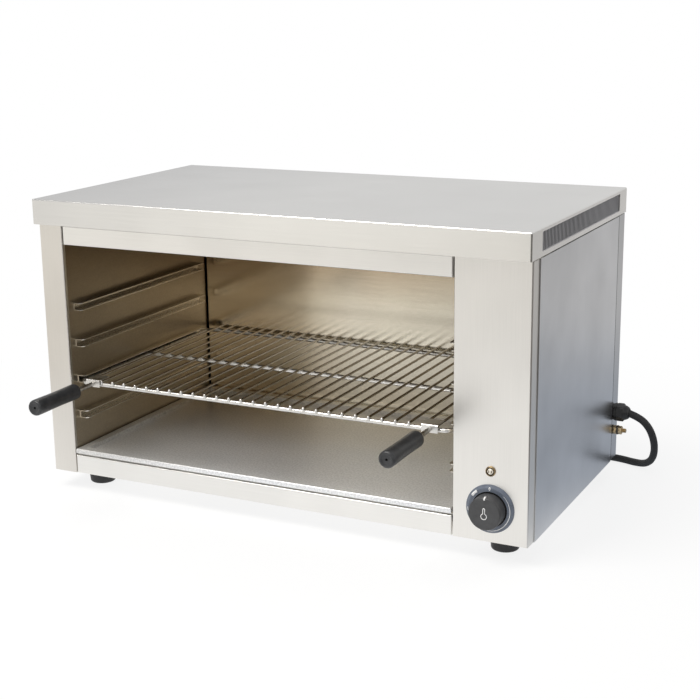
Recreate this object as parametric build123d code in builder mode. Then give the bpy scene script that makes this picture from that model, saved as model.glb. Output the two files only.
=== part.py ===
from build123d import *
from math import pi, radians, tan
import os

# A counter-top cheese melter: an open-fronted stainless steel grill with a sliding wire rack.
# Millimetres. +Z is up, the open front faces -Y and the controls are on the +X side. The origin
# lies on the bench, at the middle of the space that the appliance fills without its supply cord.

os.makedirs("parts", exist_ok=True)

# Casing
case_width = 660.0
case_depth = 362.5
case_height = 329.0
sheet = 1.0  # thickness of the stainless steel sheet
half = sheet / 2
fold = 1.6  # outer radius of a fold in the sheet
seat = 0.3  # gap between two pieces that rest or slide on each other
fit = 0.1  # gap round a fixed piece in its opening
lap_gap = 0.2  # gap between the side panels and the strips under them

# Front frame
post_width = 34.6
panel_width = 91.7
inner_return = 5.0  # depth of the fold into the chamber
top_rail_height = 24.5
bottom_rail_height = 24.7
rail_depth = 14.0
rail_gap = 1.2  # seam between a rail's end and the post

# Sides, back and base
strip_depth = 21.5  # front strip that shows before the side panel
rear_strip = 32.0  # rear strip that shows behind the side panel
side_lap = 12.5  # how far the side panel laps over each strip
flange = 12.0
pan_wall = 12.0
side_screw_inset = 7.2
side_screw_spread = 2 / 3  # screws under a side lie within this share of it
back_screw_drop = 7.0
screw_spread = 0.6  # screws across the back lie within this share of it

# Cover and its vents
cover_gap = 1.5
cover_height = 31.9
cover_overhang = 10.3
roof_upstand = 6.0
roof_tab_inset = 33.0
roof_tab_height = 20.0
roof_skirt = 14.0
roof_hole_depth = 3.0
cover_screw_rise = 12.0
vent_front = 25.2  # front end of the vent, behind the casing's front
vent_back = 31.3  # rear end of the vent, before the casing's back
vent_rise = 5.5  # vent's lower edge above the cover's lower edge
vent_margin = 4.4  # vent's upper edge below the cover's top
vent_slot_margin = 0.5
vent_pitch = 5.0
vent_slot = 2.6
vent_border = 6.0
screen_sheet = 0.8

# Feet
foot_inset_x = 43.0
foot_inset_y = 45.7
foot_height = 24.0
foot_top_radius = 18.6
foot_bottom_radius = 16.6
foot_top_round = 1.0
foot_bottom_round = 3.0
foot_screw_radius = 2.5
foot_head_radius = 4.6
foot_head_height = 3.4
foot_head_round = 1.0
foot_recess = 15.0
foot_screw_end = 4.0  # screw's end above the base

# Grilling chamber
chamber_rear_gap = 27.0  # from the rear liner to the back of the casing
roof_space = 20.0  # from the chamber's ceiling to the casing's roof
ledge = 14.0  # folded foot of each side liner, which carries the crumb tray
corner_gap = 2.0  # open corner between the left and the rear liner
reflector_depth = 6.0
floor_leg_inset = 30.0

# Runners
runner_count = 4
runner_first = 71.5  # lowest runner's underside above the casing's base
runner_pitch = 48.2
runner_depth = 11.5
runner_play = 2.6  # height that the rack's wire has to spare in a runner
runner_setback = 15.5
runner_rear_gap = 22.0
runner_chamfer = 3.0
rack_level = 2  # the second runner up holds the rack

# Wire rack
rack_play = 7.7  # width that the rack has to spare between the runners
rack_rear_gap = 0.75  # from the rods' rear ends to the rear liner
rack_shift = 2.75  # the rack stands this far right of the chamber's middle
rack_setback = 3.75
frame_wire = 5.5
frame_corner = 12.0
rod_spacing = 17.3  # rods' pitch, before it is evened out across the rack
rod_wire = 3.2
rod_overhang = 9.0  # rods' rear ends behind the rack's frame
weld_gap = 0.05

# Rack handles
handle_inset = 27.0  # handle's middle inside the rack's edge
bracket_width = 20.5
bracket_depth = 22.0
bracket_drop = 8.4
bracket_sheet = 1.2
handle_rise = 4.0  # handle's middle above the bracket's lower edge
handle_wire = 6.0
handle_chamfer = 1.0
handle_reach = 37.0  # bare rod between the rack and the grip
grip_length = 82.0
grip_radius = 10.0
grip_waist = 9.6
grip_rear_round = 1.5
grip_front_round = 3.0
grip_tang = 24.0
grip_dimple_depth = 1.2
grip_dimple_radius = 5.2

# Crumb tray
tray_side_gap = 1.8
tray_height = 6.0
tray_rear_gap = 6.1
tray_rim = 12.0
tray_front_lip = 0.6

# Tubular heaters
heater_count = 3
heater_drop = 15.0  # heaters' middle below the chamber's ceiling
heater_radius = 3.5
heater_first = 85.0  # first leg behind the casing's front
heater_rear_gap = 50.5  # last leg before the rear liner
heater_tip_gap = 22.0
hairpin_bend = 0.49  # hairpin's radius as a share of the pitch of its legs
heater_cold_end = 14.0
collar_radius = 7.0
collar_length = 4.0
heater_pin_radius = 1.6
heater_pin_length = 10.0
hanger_drop = 5.0
hanger_overhang = 12.0
hanger_inset = 100.0  # left hanger from the left liner
hanger_shift = 40.0  # right hanger from the chamber's middle

# Control knob, thermostat and pilot lamp
knob_from_right = 45.5
knob_height = 40.6
knob_base_radius = 19.8
knob_face_radius = 19.4
knob_length = 16.5
knob_bore = 13.0
knob_wall = 2.5
knob_boss_radius = 6.0
knob_hollow = 11.0
knob_face_round = 2.0
knob_base_round = 0.8
bezel_radius = 29.0
bezel_face_radius = 25.5
bezel_thickness = 3.0
bezel_slope = 2.1  # depth of the bezel's sloping edge
spindle_radius = 3.0
spindle_flat = 1.0
spindle_clearance = 0.05
bushing_radius = 5.0
bushing_seat_radius = 8.0
bushing_reach = 2.4  # bushing's end before the panel
thermostat_width = 38.0
thermostat_depth = 26.0
thermostat_setback = 3.0
thermostat_corner = 3.0
capillary_radius = 1.0
capillary_bend = 5.5
capillary_lead = 30.0  # capillary's run behind the thermostat
capillary_inset = 6.0  # capillary's start inside the thermostat's edge
bulb_radius = 3.0
bulb_length = 80.0
bulb_drop = 20.0  # bulb's middle below the heaters
bulb_rear_gap = 65.5
bulb_lead = 20.0  # capillary's run along the chamber before the bulb
pilot_height = 85.5
pilot_radius = 6.0
pilot_lens_radius = 4.5
pilot_barrel_radius = 4.9
pilot_length = 24.0
pilot_ring_thickness = 2.0
pilot_ring_round = 0.9
pilot_nut_radius = 7.5
pilot_nut_thickness = 3.0
pilot_tab_spacing = 4.0
pilot_tab_width = 3.0
pilot_tab_thickness = 0.8
pilot_tab_length = 7.0
lens_dome = 1.6
lens_round = 1.4

# Cable gland, bonding stud and terminal block
gland_from_back = 19.5
gland_height = 66.0
gland_across = 21.0
gland_thread_radius = 8.0
gland_collar = 4.6
gland_inside = 9.0
gland_nut_length = 10.4
gland_dome = 6.5
gland_shoulder = 0.6  # dome's foot inside the nut's flats
gland_mouth_radius = 6.9
gland_mouth_round = 1.2
gland_locknut_thickness = 4.0
cord_radius = 4.85
gland_play = 0.25
stud_radius = 3.0
stud_reach = 18.5  # stud's free end beyond the side of the casing
stud_height = 42.0
stud_from_back = 22.5
stud_inside = 9.0
stud_chamfer = 0.6
stud_nut_across = 10.0
stud_nut_thickness = 4.8
stud_washer_radius = 6.2
stud_washer = 1.1
block_from_back = 100.0
block_length = 48.0
block_width = 22.0
block_height = 20.0
block_corner = 2.0
block_ways = 4
block_screw_radius = 1.5
block_well_radius = 3.0
block_well_depth = 5.0
block_floor = 6.0

# Sheet screws
screw_radius = 1.9
screw_head_radius = 3.7
screw_head_height = 2.2
screw_length = 8.0

# Where the casing stands
grip_reach = handle_reach + grip_length
gland_reach = gland_collar + gland_nut_length + gland_dome
side_proud = sheet + lap_gap
left = (side_proud - case_width - gland_reach) / 2
right = left + case_width
front = (grip_reach - case_depth - sheet - screw_head_height) / 2
back = front + case_depth
base = foot_height
top = base + case_height
centre_x = left + case_width / 2
centre_y = front + case_depth / 2

chamber_left = left + post_width
chamber_right = right - panel_width
chamber_middle = (chamber_left + chamber_right) / 2
chamber_width = chamber_right - chamber_left
chamber_front = front + inner_return + seat
chamber_back = back - chamber_rear_gap
chamber_top = top - roof_space
chamber_depth = chamber_back - front
knob_x = right - knob_from_right
knob_z = base + knob_height
pilot_z = base + pilot_height
gland_y = back - gland_from_back
gland_z = base + gland_height
stud_y = back - stud_from_back
stud_z = base + stud_height


# ---- Casing ----

# Left front post: sheet folded round the corner, with a return into the chamber.
with BuildPart() as left_post:
    with BuildSketch(Plane.XY.offset(base)):
        with BuildLine():
            FilletPolyline(
                (left + half, front + strip_depth + side_lap),
                (left + half, front + half),
                (chamber_left - half, front + half),
                (chamber_left - half, front + inner_return),
                radius=fold - half,
            )
        trace(line_width=sheet)
    extrude(amount=case_height)
left_post.part.label = "left_post"
export_step(left_post.part, "parts/left_post.step")

# Control panel: the right front post, with holes for the thermostat bushing and the pilot lamp.
with BuildPart() as control_panel:
    with BuildSketch(Plane.XY.offset(base)):
        with BuildLine():
            FilletPolyline(
                (right - half, front + strip_depth + side_lap),
                (right - half, front + half),
                (chamber_right + half, front + half),
                (chamber_right + half, front + inner_return),
                radius=fold - half,
            )
        trace(line_width=sheet)
    extrude(amount=case_height)
    with BuildSketch(Plane.XZ.offset(-front)):
        with Locations((knob_x, knob_z)):
            Circle(bushing_radius + fit)
        with Locations((knob_x, pilot_z)):
            Circle(pilot_barrel_radius + fit)
    extrude(amount=-sheet, mode=Mode.SUBTRACT)
control_panel.part.label = "control_panel"
export_step(control_panel.part, "parts/control_panel.step")

# Rails across the front: shallow pans, open at the back.
for rail_name, rail_low, rail_height in (
    ("top_rail", top - top_rail_height, top_rail_height),
    ("bottom_rail", base, bottom_rail_height),
):
    with BuildPart() as front_rail:
        with BuildSketch(Plane.XY.offset(rail_low)):
            with Locations((chamber_middle, front + rail_depth / 2)):
                Rectangle(chamber_width - 2 * rail_gap, rail_depth)
        extrude(amount=rail_height)
        fillet(front_rail.faces().sort_by(Axis.Y)[0].edges(), fold)
        offset(amount=-sheet, openings=front_rail.faces().sort_by(Axis.Y)[-1])
    front_rail.part.label = rail_name
    export_step(front_rail.part, f"parts/{rail_name}.step")

# Base pan: a tray inside the strips and rails, with holes for the foot and side panel screws.
pan_front = front + rail_depth + sheet
pan_back = back - sheet - fit
foot_places = [
    (centre_x + side * (case_width / 2 - foot_inset_x), centre_y + end * (case_depth / 2 - foot_inset_y))
    for side in (-1, 1)
    for end in (-1, 1)
]
side_screw_span = side_screw_spread * case_depth / 2
side_screw_places = [
    (centre_x + side * (case_width / 2 - side_screw_inset), centre_y + place)
    for side in (-1, 1)
    for place in (-side_screw_span, 0, side_screw_span)
]
back_screw_places = [
    (centre_x + place * screw_spread * case_width / 2, level)
    for place in (-1, 0, 1)
    for level in (base + back_screw_drop, top - back_screw_drop)
]
with BuildPart() as base_pan:
    with BuildSketch(Plane.XY.offset(base)):
        with Locations((centre_x, (pan_front + pan_back) / 2)):
            Rectangle(case_width - 2 * (sheet + fit), pan_back - pan_front)
    extrude(amount=pan_wall)
    fillet(base_pan.edges().filter_by(Axis.Z) + base_pan.faces().sort_by(Axis.Z)[0].edges(), fold)
    offset(amount=-sheet, openings=base_pan.faces().sort_by(Axis.Z)[-1])
    with BuildSketch(Plane.XY.offset(base)):
        with Locations(*foot_places):
            Circle(foot_screw_radius + fit)
        with Locations(*side_screw_places):
            Circle(screw_radius + fit)
    extrude(amount=sheet, mode=Mode.SUBTRACT)
    with BuildSketch(Plane.XZ.offset(-pan_back)):
        with Locations(*back_screw_places):
            Circle(screw_radius + fit)
    extrude(amount=sheet, mode=Mode.SUBTRACT)
base_pan.part.label = "base_pan"
export_step(base_pan.part, "parts/base_pan.step")

# Side panels: flat sheets lapped over the strips, folded under the base.
panel_front = front + strip_depth
panel_back = back - rear_strip
for side, edge, panel_name in ((-1, left, "left_side_panel"), (1, right, "right_side_panel")):
    with BuildPart() as side_panel:
        with BuildSketch(Plane.XZ.offset(-panel_front)):
            with BuildLine():
                FilletPolyline(
                    (edge + side * (lap_gap + half), top),
                    (edge + side * (lap_gap + half), base - lap_gap - half),
                    (edge - side * flange, base - lap_gap - half),
                    radius=fold - half,
                )
            trace(line_width=sheet)
        extrude(amount=panel_front - panel_back)
        with BuildSketch(Plane.XY.offset(base - side_proud)):
            with Locations(*[place for place in side_screw_places if side * (place[0] - centre_x) > 0]):
                Circle(screw_radius + fit)
        extrude(amount=sheet, mode=Mode.SUBTRACT)
    side_panel.part.label = panel_name
    export_step(side_panel.part, f"parts/{panel_name}.step")

# Back panel: one sheet whose flanges make the rear strips. It has cooling slots behind the
# controls, screw holes, and the holes for the cable gland and the bonding stud.
slot_count = 7
slot_pitch = 9.0
slot_length = 60.0
slot_width = 4.0
slots_from_right = 50.0
slots_drop = 79.0  # slots' middle below the casing's top
with BuildPart() as back_panel:
    with BuildSketch(Plane.XY.offset(base)):
        with BuildLine():
            FilletPolyline(
                (left + half, panel_back - side_lap),
                (left + half, back - half),
                (right - half, back - half),
                (right - half, panel_back - side_lap),
                radius=fold - half,
            )
        trace(line_width=sheet)
    extrude(amount=case_height)
    with BuildSketch(Plane.XZ.offset(-back)):
        with Locations((right - slots_from_right, top - slots_drop)):
            with GridLocations(slot_pitch, 0, slot_count, 1):
                SlotOverall(slot_length, slot_width, rotation=90)
        with Locations(*back_screw_places):
            Circle(screw_radius + fit)
    extrude(amount=sheet, mode=Mode.SUBTRACT)
    with BuildSketch(Plane.YZ.offset(right)):
        with Locations((gland_y, gland_z)):
            Circle(gland_thread_radius + fit)
        with Locations((stud_y, stud_z)):
            Circle(stud_radius + fit)
    extrude(amount=-sheet, mode=Mode.SUBTRACT)
back_panel.part.label = "back_panel"
export_step(back_panel.part, "parts/back_panel.step")

# Casing roof: a plate with an upstand that the cover slides over, and a taller one for its screws.
roof_rear = back - seat
roof_tab_length = case_width - 2 * roof_tab_inset
cover_bottom = top + cover_gap
cover_screw_places = [
    (centre_x + place * screw_spread * case_width / 2, cover_bottom + cover_screw_rise)
    for place in (-1, 0, 1)
]
with BuildPart() as casing_roof:
    with BuildSketch(Plane.XY.offset(top)):
        with Locations((centre_x, centre_y)):
            Rectangle(case_width + 2 * (lap_gap - seat), case_depth - 2 * seat)
    extrude(amount=roof_upstand)
    fillet(casing_roof.edges().filter_by(Axis.Z) + casing_roof.faces().sort_by(Axis.Z)[0].edges(), fold)
    offset(amount=-sheet, openings=casing_roof.faces().sort_by(Axis.Z)[-1])
    with BuildSketch(Plane.XY.offset(top + fold)):
        with Locations((centre_x, roof_rear - half)):
            Rectangle(roof_tab_length, sheet)
    extrude(amount=roof_tab_height - fold)
    with BuildSketch(Plane.XY.offset(top + half)):
        with Locations((centre_x, back - sheet - fit - half)):
            Rectangle(roof_tab_length, sheet)
    extrude(amount=-roof_skirt - half)
    with BuildSketch(Plane.XZ.offset(-back)):
        with Locations(*back_screw_places, *cover_screw_places):
            Circle(screw_radius + fit)
    extrude(amount=roof_hole_depth, mode=Mode.SUBTRACT)
casing_roof.part.label = "casing_roof"
export_step(casing_roof.part, "parts/casing_roof.step")

# Top cover: an upside-down tray that overhangs the front, with a vent window in each side.
cover_front = front - cover_overhang
vent_length = case_depth - vent_front - vent_back
vent_height = cover_height - vent_rise - vent_margin
cover_back = back + sheet
vent_y = front + vent_front + vent_length / 2
vent_z = cover_bottom + vent_rise + vent_height / 2
with BuildPart() as top_cover:
    with BuildSketch(Plane.XY.offset(cover_bottom)):
        with Locations((centre_x, (cover_front + cover_back) / 2)):
            Rectangle(case_width + 2 * side_proud, cover_back - cover_front)
    extrude(amount=cover_height)
    upright_folds = top_cover.edges().filter_by(Axis.Z)
    top_folds = top_cover.faces().sort_by(Axis.Z)[-1].edges()
    fillet(upright_folds + top_folds, fold)
    offset(amount=-sheet, openings=top_cover.faces().sort_by(Axis.Z)[0])
    with BuildSketch(Plane.XY.offset(cover_bottom)):
        with Locations((centre_x, (cover_front + front) / 2)):
            Rectangle(case_width, cover_overhang - 2 * sheet)
    extrude(amount=sheet)
    with BuildSketch(Plane.YZ.offset(left - fold)):
        with Locations((vent_y, vent_z)):
            Rectangle(vent_length, vent_height)
    extrude(amount=case_width + 2 * fold, mode=Mode.SUBTRACT)
    with BuildSketch(Plane.XZ.offset(-cover_back)):
        with Locations(*cover_screw_places):
            Circle(screw_radius + fit)
    extrude(amount=sheet, mode=Mode.SUBTRACT)
top_cover.part.label = "top_cover"
export_step(top_cover.part, "parts/top_cover.step")

# Vent screens: slotted plates welded inside the cover, behind its windows.
screen_height = vent_height + 2 * (vent_rise - (roof_upstand - cover_gap) - seat)
for edge, side, screen_name in ((left, 1, "vent_screen_left"), (right, -1, "vent_screen_right")):
    with BuildPart() as vent_screen:
        with BuildSketch(Plane.YZ.offset(edge - side * lap_gap)):
            with Locations((vent_y, vent_z)):
                Rectangle(vent_length + 2 * vent_border, screen_height)
                with GridLocations(vent_pitch, 0, int(vent_length / vent_pitch), 1):
                    Rectangle(vent_slot, vent_height - 2 * vent_slot_margin, mode=Mode.SUBTRACT)
        extrude(amount=side * screen_sheet)
    vent_screen.part.label = screen_name
    export_step(vent_screen.part, f"parts/{screen_name}.step")

# Feet: turned plastic pads with a recess for the screw's head.
with BuildPart() as feet:
    with Locations(*foot_places):
        Cone(
            foot_bottom_radius,
            foot_top_radius,
            foot_height,
            align=(Align.CENTER, Align.CENTER, Align.MIN),
        )
    fillet(feet.edges().group_by(Axis.Z)[0], foot_bottom_round)
    fillet(feet.edges().group_by(Axis.Z)[-1], foot_top_round)
    with BuildSketch():
        with Locations(*foot_places):
            Circle(foot_head_radius + seat)
    extrude(amount=foot_recess, mode=Mode.SUBTRACT)
    with BuildSketch():
        with Locations(*foot_places):
            Circle(foot_screw_radius + fit)
    extrude(amount=foot_height, mode=Mode.SUBTRACT)
feet.part.label = "feet"
export_step(feet.part, "parts/feet.step")

# Foot screws, whose heads bear on the recesses' floors.
with BuildPart() as foot_screws:
    with BuildSketch(Plane.XY.offset(foot_recess)):
        with Locations(*foot_places):
            Circle(foot_head_radius)
    extrude(amount=-foot_head_height)
    fillet(foot_screws.edges().group_by(Axis.Z)[0], foot_head_round)
    with BuildSketch(Plane.XY.offset(foot_recess)):
        with Locations(*foot_places):
            Circle(foot_screw_radius)
    extrude(amount=foot_height - foot_recess + foot_screw_end)
foot_screws.part.label = "foot_screws"
export_step(foot_screws.part, "parts/foot_screws.step")

# Sheet screws of the side panels, back panel and cover.
with BuildPart() as case_screws:
    for screw_plane, places in (
        (Plane.XY.offset(base - side_proud).rotated((180, 0, 0)), [(x, -y) for x, y in side_screw_places]),
        (Plane.XZ.offset(-back).rotated((180, 0, 0)), [(x, -z) for x, z in back_screw_places]),
        (Plane.XZ.offset(-cover_back).rotated((180, 0, 0)), [(x, -z) for x, z in cover_screw_places]),
    ):
        with BuildSketch(screw_plane):
            with Locations(*places):
                Circle(screw_head_radius)
        extrude(amount=screw_head_height)
        with BuildSketch(screw_plane):
            with Locations(*places):
                Circle(screw_radius)
        extrude(amount=-screw_length)
case_screws.part.label = "case_screws"
export_step(case_screws.part, "parts/case_screws.step")


# ---- Grilling chamber ----

# Floor plate: lies on the bottom rail and stands on its rear leg.
floor_top = base + bottom_rail_height + sheet
floor_width = chamber_width + 2 * flange
with BuildPart() as chamber_floor:
    with BuildSketch(Plane.YZ.offset(chamber_middle - floor_width / 2)):
        with BuildLine():
            FilletPolyline(
                (chamber_front, floor_top - half),
                (back - floor_leg_inset, floor_top - half),
                (back - floor_leg_inset, base + sheet),
                radius=fold - half,
            )
        trace(line_width=sheet)
    extrude(amount=floor_width)
chamber_floor.part.label = "chamber_floor"
export_step(chamber_floor.part, "parts/chamber_floor.step")

# Side liners: upright sheets with a ledge at the foot. The right one lets the heaters through.
ledge_low = floor_top + seat
liner_length = chamber_back - seat - chamber_front
heater_z = chamber_top - heater_drop
heater_leg_pitch = (chamber_depth - heater_first - heater_rear_gap) / (2 * heater_count - 1)
heater_leg_places = [front + heater_first + leg * heater_leg_pitch for leg in range(2 * heater_count)]
bulb_x = chamber_right - 2 * bulb_radius
bulb_z = heater_z - bulb_drop
bulb_front = chamber_back - bulb_rear_gap - bulb_length
for side, wall, liner_name in ((1, chamber_left, "left_liner"), (-1, chamber_right, "right_liner")):
    with BuildPart() as side_liner:
        with BuildSketch(Plane.XZ.offset(-chamber_front)):
            with BuildLine():
                FilletPolyline(
                    (wall + side * ledge, ledge_low + half),
                    (wall - side * half, ledge_low + half),
                    (wall - side * half, chamber_top),
                    radius=fold - half,
                )
            trace(line_width=sheet)
        extrude(amount=-liner_length)
        if wall == chamber_right:
            with BuildSketch(Plane.YZ.offset(wall)):
                with Locations(*[(leg_y, heater_z) for leg_y in heater_leg_places]):
                    Circle(heater_radius + seat)
                with Locations((bulb_front - bulb_lead, bulb_z)):
                    Circle(capillary_radius + seat)
            extrude(amount=sheet, mode=Mode.SUBTRACT)
    side_liner.part.label = liner_name
    export_step(side_liner.part, f"parts/{liner_name}.step")

# Rear liner: folded back at both edges, with an open corner on the left.
with BuildPart() as rear_liner:
    with BuildSketch(Plane.XY.offset(floor_top)):
        with BuildLine():
            FilletPolyline(
                (chamber_left + corner_gap + half, chamber_back + flange),
                (chamber_left + corner_gap + half, chamber_back + half),
                (chamber_right - seat - half, chamber_back + half),
                (chamber_right - seat - half, chamber_back + flange),
                radius=fold - half,
            )
        trace(line_width=sheet)
    extrude(amount=chamber_top - floor_top)
rear_liner.part.label = "rear_liner"
export_step(rear_liner.part, "parts/rear_liner.step")

# Reflector: a shallow upside-down pan that closes the chamber above the heaters.
reflector_front = front + rail_depth + seat
with BuildPart() as reflector:
    with BuildSketch(Plane.XY.offset(chamber_top - reflector_depth)):
        with Locations((chamber_middle, (reflector_front + chamber_back - seat) / 2)):
            Rectangle(chamber_width - 2 * seat, chamber_back - seat - reflector_front)
    extrude(amount=reflector_depth)
    fillet(reflector.faces().sort_by(Axis.Z)[-1].edges(), fold)
    offset(amount=-sheet, openings=reflector.faces().sort_by(Axis.Z)[0])
reflector.part.label = "reflector"
export_step(reflector.part, "parts/reflector.step")

# Runners: channels on the side liners, open towards the chamber, with clipped front corners.
runner_front = front + runner_setback
runner_back = chamber_back - runner_rear_gap
runner_height = frame_wire + 2 * sheet + runner_play
runner_levels = [base + runner_first + level * runner_pitch for level in range(runner_count)]
for side, wall, side_name in ((1, chamber_left, "left"), (-1, chamber_right, "right")):
    for level, low in enumerate(runner_levels, start=1):
        with BuildPart() as runner:
            with BuildSketch(Plane.XZ.offset(-runner_front)):
                with BuildLine():
                    FilletPolyline(
                        (wall + side * runner_depth, low + half),
                        (wall + side * half, low + half),
                        (wall + side * half, low + runner_height - half),
                        (wall + side * runner_depth, low + runner_height - half),
                        radius=fold - half,
                    )
                trace(line_width=sheet)
            extrude(amount=runner_front - runner_back)
            lips = runner.edges().filter_by(Axis.Z).group_by(Axis.Y)[0]
            chamfer(lips.group_by(Axis.X)[-1 if side > 0 else 0], runner_chamfer)
        runner.part.label = f"{side_name}_runner_{level}"
        export_step(runner.part, f"parts/{side_name}_runner_{level}.step")


# ---- Wire rack ----

# Frame: one loop of thick wire in the runners, with a cross wire welded in at the middle.
rack_x = chamber_middle + rack_shift
rack_width = chamber_width - 2 * sheet - rack_play
rack_depth = chamber_depth - rack_setback - rod_overhang - rack_rear_gap
frame_z = runner_levels[rack_level - 1] + sheet + seat + frame_wire / 2
frame_left = rack_x - (rack_width - frame_wire) / 2
frame_right = rack_x + (rack_width - frame_wire) / 2
frame_front = front + rack_setback + frame_wire / 2
frame_back = front + rack_setback + rack_depth - frame_wire / 2
frame_middle = (frame_front + frame_back) / 2
with BuildPart() as rack_frame:
    with BuildLine(Plane.XY.offset(frame_z)) as frame_loop:
        FilletPolyline(
            (frame_left, frame_front),
            (frame_right, frame_front),
            (frame_right, frame_back),
            (frame_left, frame_back),
            radius=frame_corner,
            close=True,
        )
    with BuildSketch(frame_loop.line ^ 0):
        Circle(frame_wire / 2)
    sweep()
    with BuildSketch(Plane.YZ.offset(frame_left)):
        with Locations((frame_middle, frame_z)):
            Circle(frame_wire / 2)
    extrude(amount=frame_right - frame_left)
rack_frame.part.label = "rack_frame"
export_step(rack_frame.part, "parts/rack_frame.step")

# Rods: thin wires across the frame, spot-welded on top of it.
rod_z = frame_z + (frame_wire + rod_wire) / 2 + weld_gap
rod_front = front + rack_setback - weld_gap
rod_back = front + rack_setback + rack_depth + rod_overhang
rod_count = round((rack_width - frame_wire) / rod_spacing) - 1
rod_pitch = (rack_width - frame_wire) / (rod_count + 1)
with BuildPart() as rack_rods:
    with BuildSketch(Plane.XZ.offset(-rod_front)):
        with Locations((rack_x, rod_z)):
            with GridLocations(rod_pitch, 0, rod_count, 1):
                Circle(rod_wire / 2)
    extrude(amount=rod_front - rod_back)
rack_rods.part.label = "rack_rods"
export_step(rack_rods.part, "parts/rack_rods.step")

# Handles: a folded bracket on the rods carries a round rod, which the grip is pushed on.
bracket_top = rod_z + rod_wire / 2 + weld_gap + bracket_sheet
handle_z = bracket_top - bracket_sheet - bracket_drop + handle_rise
handle_spacing = rack_width - 2 * handle_inset
rod_tip = front - handle_reach - grip_tang
for side, side_name in ((-1, "left"), (1, "right")):
    handle_x = rack_x + side * handle_spacing / 2
    with BuildPart() as rack_bracket:
        with BuildSketch(Plane.YZ.offset(handle_x - bracket_width / 2)):
            with BuildLine():
                FilletPolyline(
                    (front + bracket_sheet / 2, bracket_top - bracket_sheet - bracket_drop),
                    (front + bracket_sheet / 2, bracket_top - bracket_sheet / 2),
                    (front + bracket_depth, bracket_top - bracket_sheet / 2),
                    radius=bracket_sheet,
                )
            trace(line_width=bracket_sheet)
        extrude(amount=bracket_width)
        with BuildSketch(Plane.XZ.offset(-front - bracket_sheet / 2)):
            with Locations((handle_x, handle_z)):
                Circle(handle_wire / 2)
        extrude(amount=handle_reach + grip_tang + bracket_sheet / 2)
        chamfer(rack_bracket.faces().sort_by(Axis.Y)[0].edges(), handle_chamfer)
    rack_bracket.part.label = f"rack_bracket_{side_name}"
    export_step(rack_bracket.part, f"parts/rack_bracket_{side_name}.step")

    # Grip: turned plastic, a little slimmer in the middle, with a dimple in its front end.
    grip_rear = front - handle_reach
    with BuildPart() as grip:
        with BuildSketch(Plane.XY.offset(handle_z)):
            with BuildLine():
                Polyline((handle_x, grip_rear), (handle_x + grip_radius, grip_rear))
                ThreePointArc(
                    (handle_x + grip_radius, grip_rear),
                    (handle_x + grip_waist, grip_rear - grip_length / 2),
                    (handle_x + grip_radius, grip_rear - grip_length),
                )
                Polyline(
                    (handle_x + grip_radius, grip_rear - grip_length),
                    (handle_x, grip_rear - grip_length),
                    (handle_x, grip_rear),
                )
            make_face()
        revolve(axis=Axis((handle_x, grip_rear, handle_z), (0, 1, 0)))
        fillet(grip.edges().filter_by(GeomType.CIRCLE).sort_by(Axis.Y)[-1], grip_rear_round)
        fillet(grip.edges().filter_by(GeomType.CIRCLE).sort_by(Axis.Y)[0], grip_front_round)
        with BuildSketch(Plane.XZ.offset(-grip_rear)):
            with Locations((handle_x, handle_z)):
                Circle(handle_wire / 2 + fit / 2)
        extrude(amount=grip_tang + seat, mode=Mode.SUBTRACT)
        dimple_y = grip_rear - grip_length - grip_dimple_radius + grip_dimple_depth
        with Locations((handle_x, dimple_y, handle_z)):
            Sphere(grip_dimple_radius, mode=Mode.SUBTRACT)
    grip.part.label = f"grip_{side_name}"
    export_step(grip.part, f"parts/grip_{side_name}.step")


# ---- Crumb tray ----

# Tray: a shallow pan with a hollow rim, which slides on the liners' ledges.
tray_low = ledge_low + sheet + seat
tray_width = chamber_width - 2 * tray_side_gap
tray_depth = chamber_depth + tray_front_lip - tray_rear_gap
tray_front = front - tray_front_lip
tray_y = tray_front + tray_depth / 2
with BuildPart() as crumb_tray:
    with BuildSketch(Plane.XY.offset(tray_low)):
        with Locations((chamber_middle, tray_y)):
            Rectangle(tray_width, tray_depth)
    extrude(amount=tray_height)
    fillet(crumb_tray.faces().sort_by(Axis.Z)[-1].edges(), fold)
    with BuildSketch(Plane.XY.offset(tray_low + sheet)):
        with Locations((chamber_middle, tray_y)):
            Rectangle(tray_width - 2 * tray_rim, tray_depth - 2 * tray_rim)
    extrude(amount=tray_height, mode=Mode.SUBTRACT)
    with BuildSketch(Plane.XY.offset(tray_low)):
        with Locations((chamber_middle, tray_y)):
            Rectangle(tray_width - 2 * sheet, tray_depth - 2 * sheet)
            Rectangle(
                tray_width - 2 * (tray_rim - sheet),
                tray_depth - 2 * (tray_rim - sheet),
                mode=Mode.SUBTRACT,
            )
    extrude(amount=tray_height - sheet, mode=Mode.SUBTRACT)
crumb_tray.part.label = "crumb_tray"
export_step(crumb_tray.part, "parts/crumb_tray.step")


# ---- Heaters ----

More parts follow.
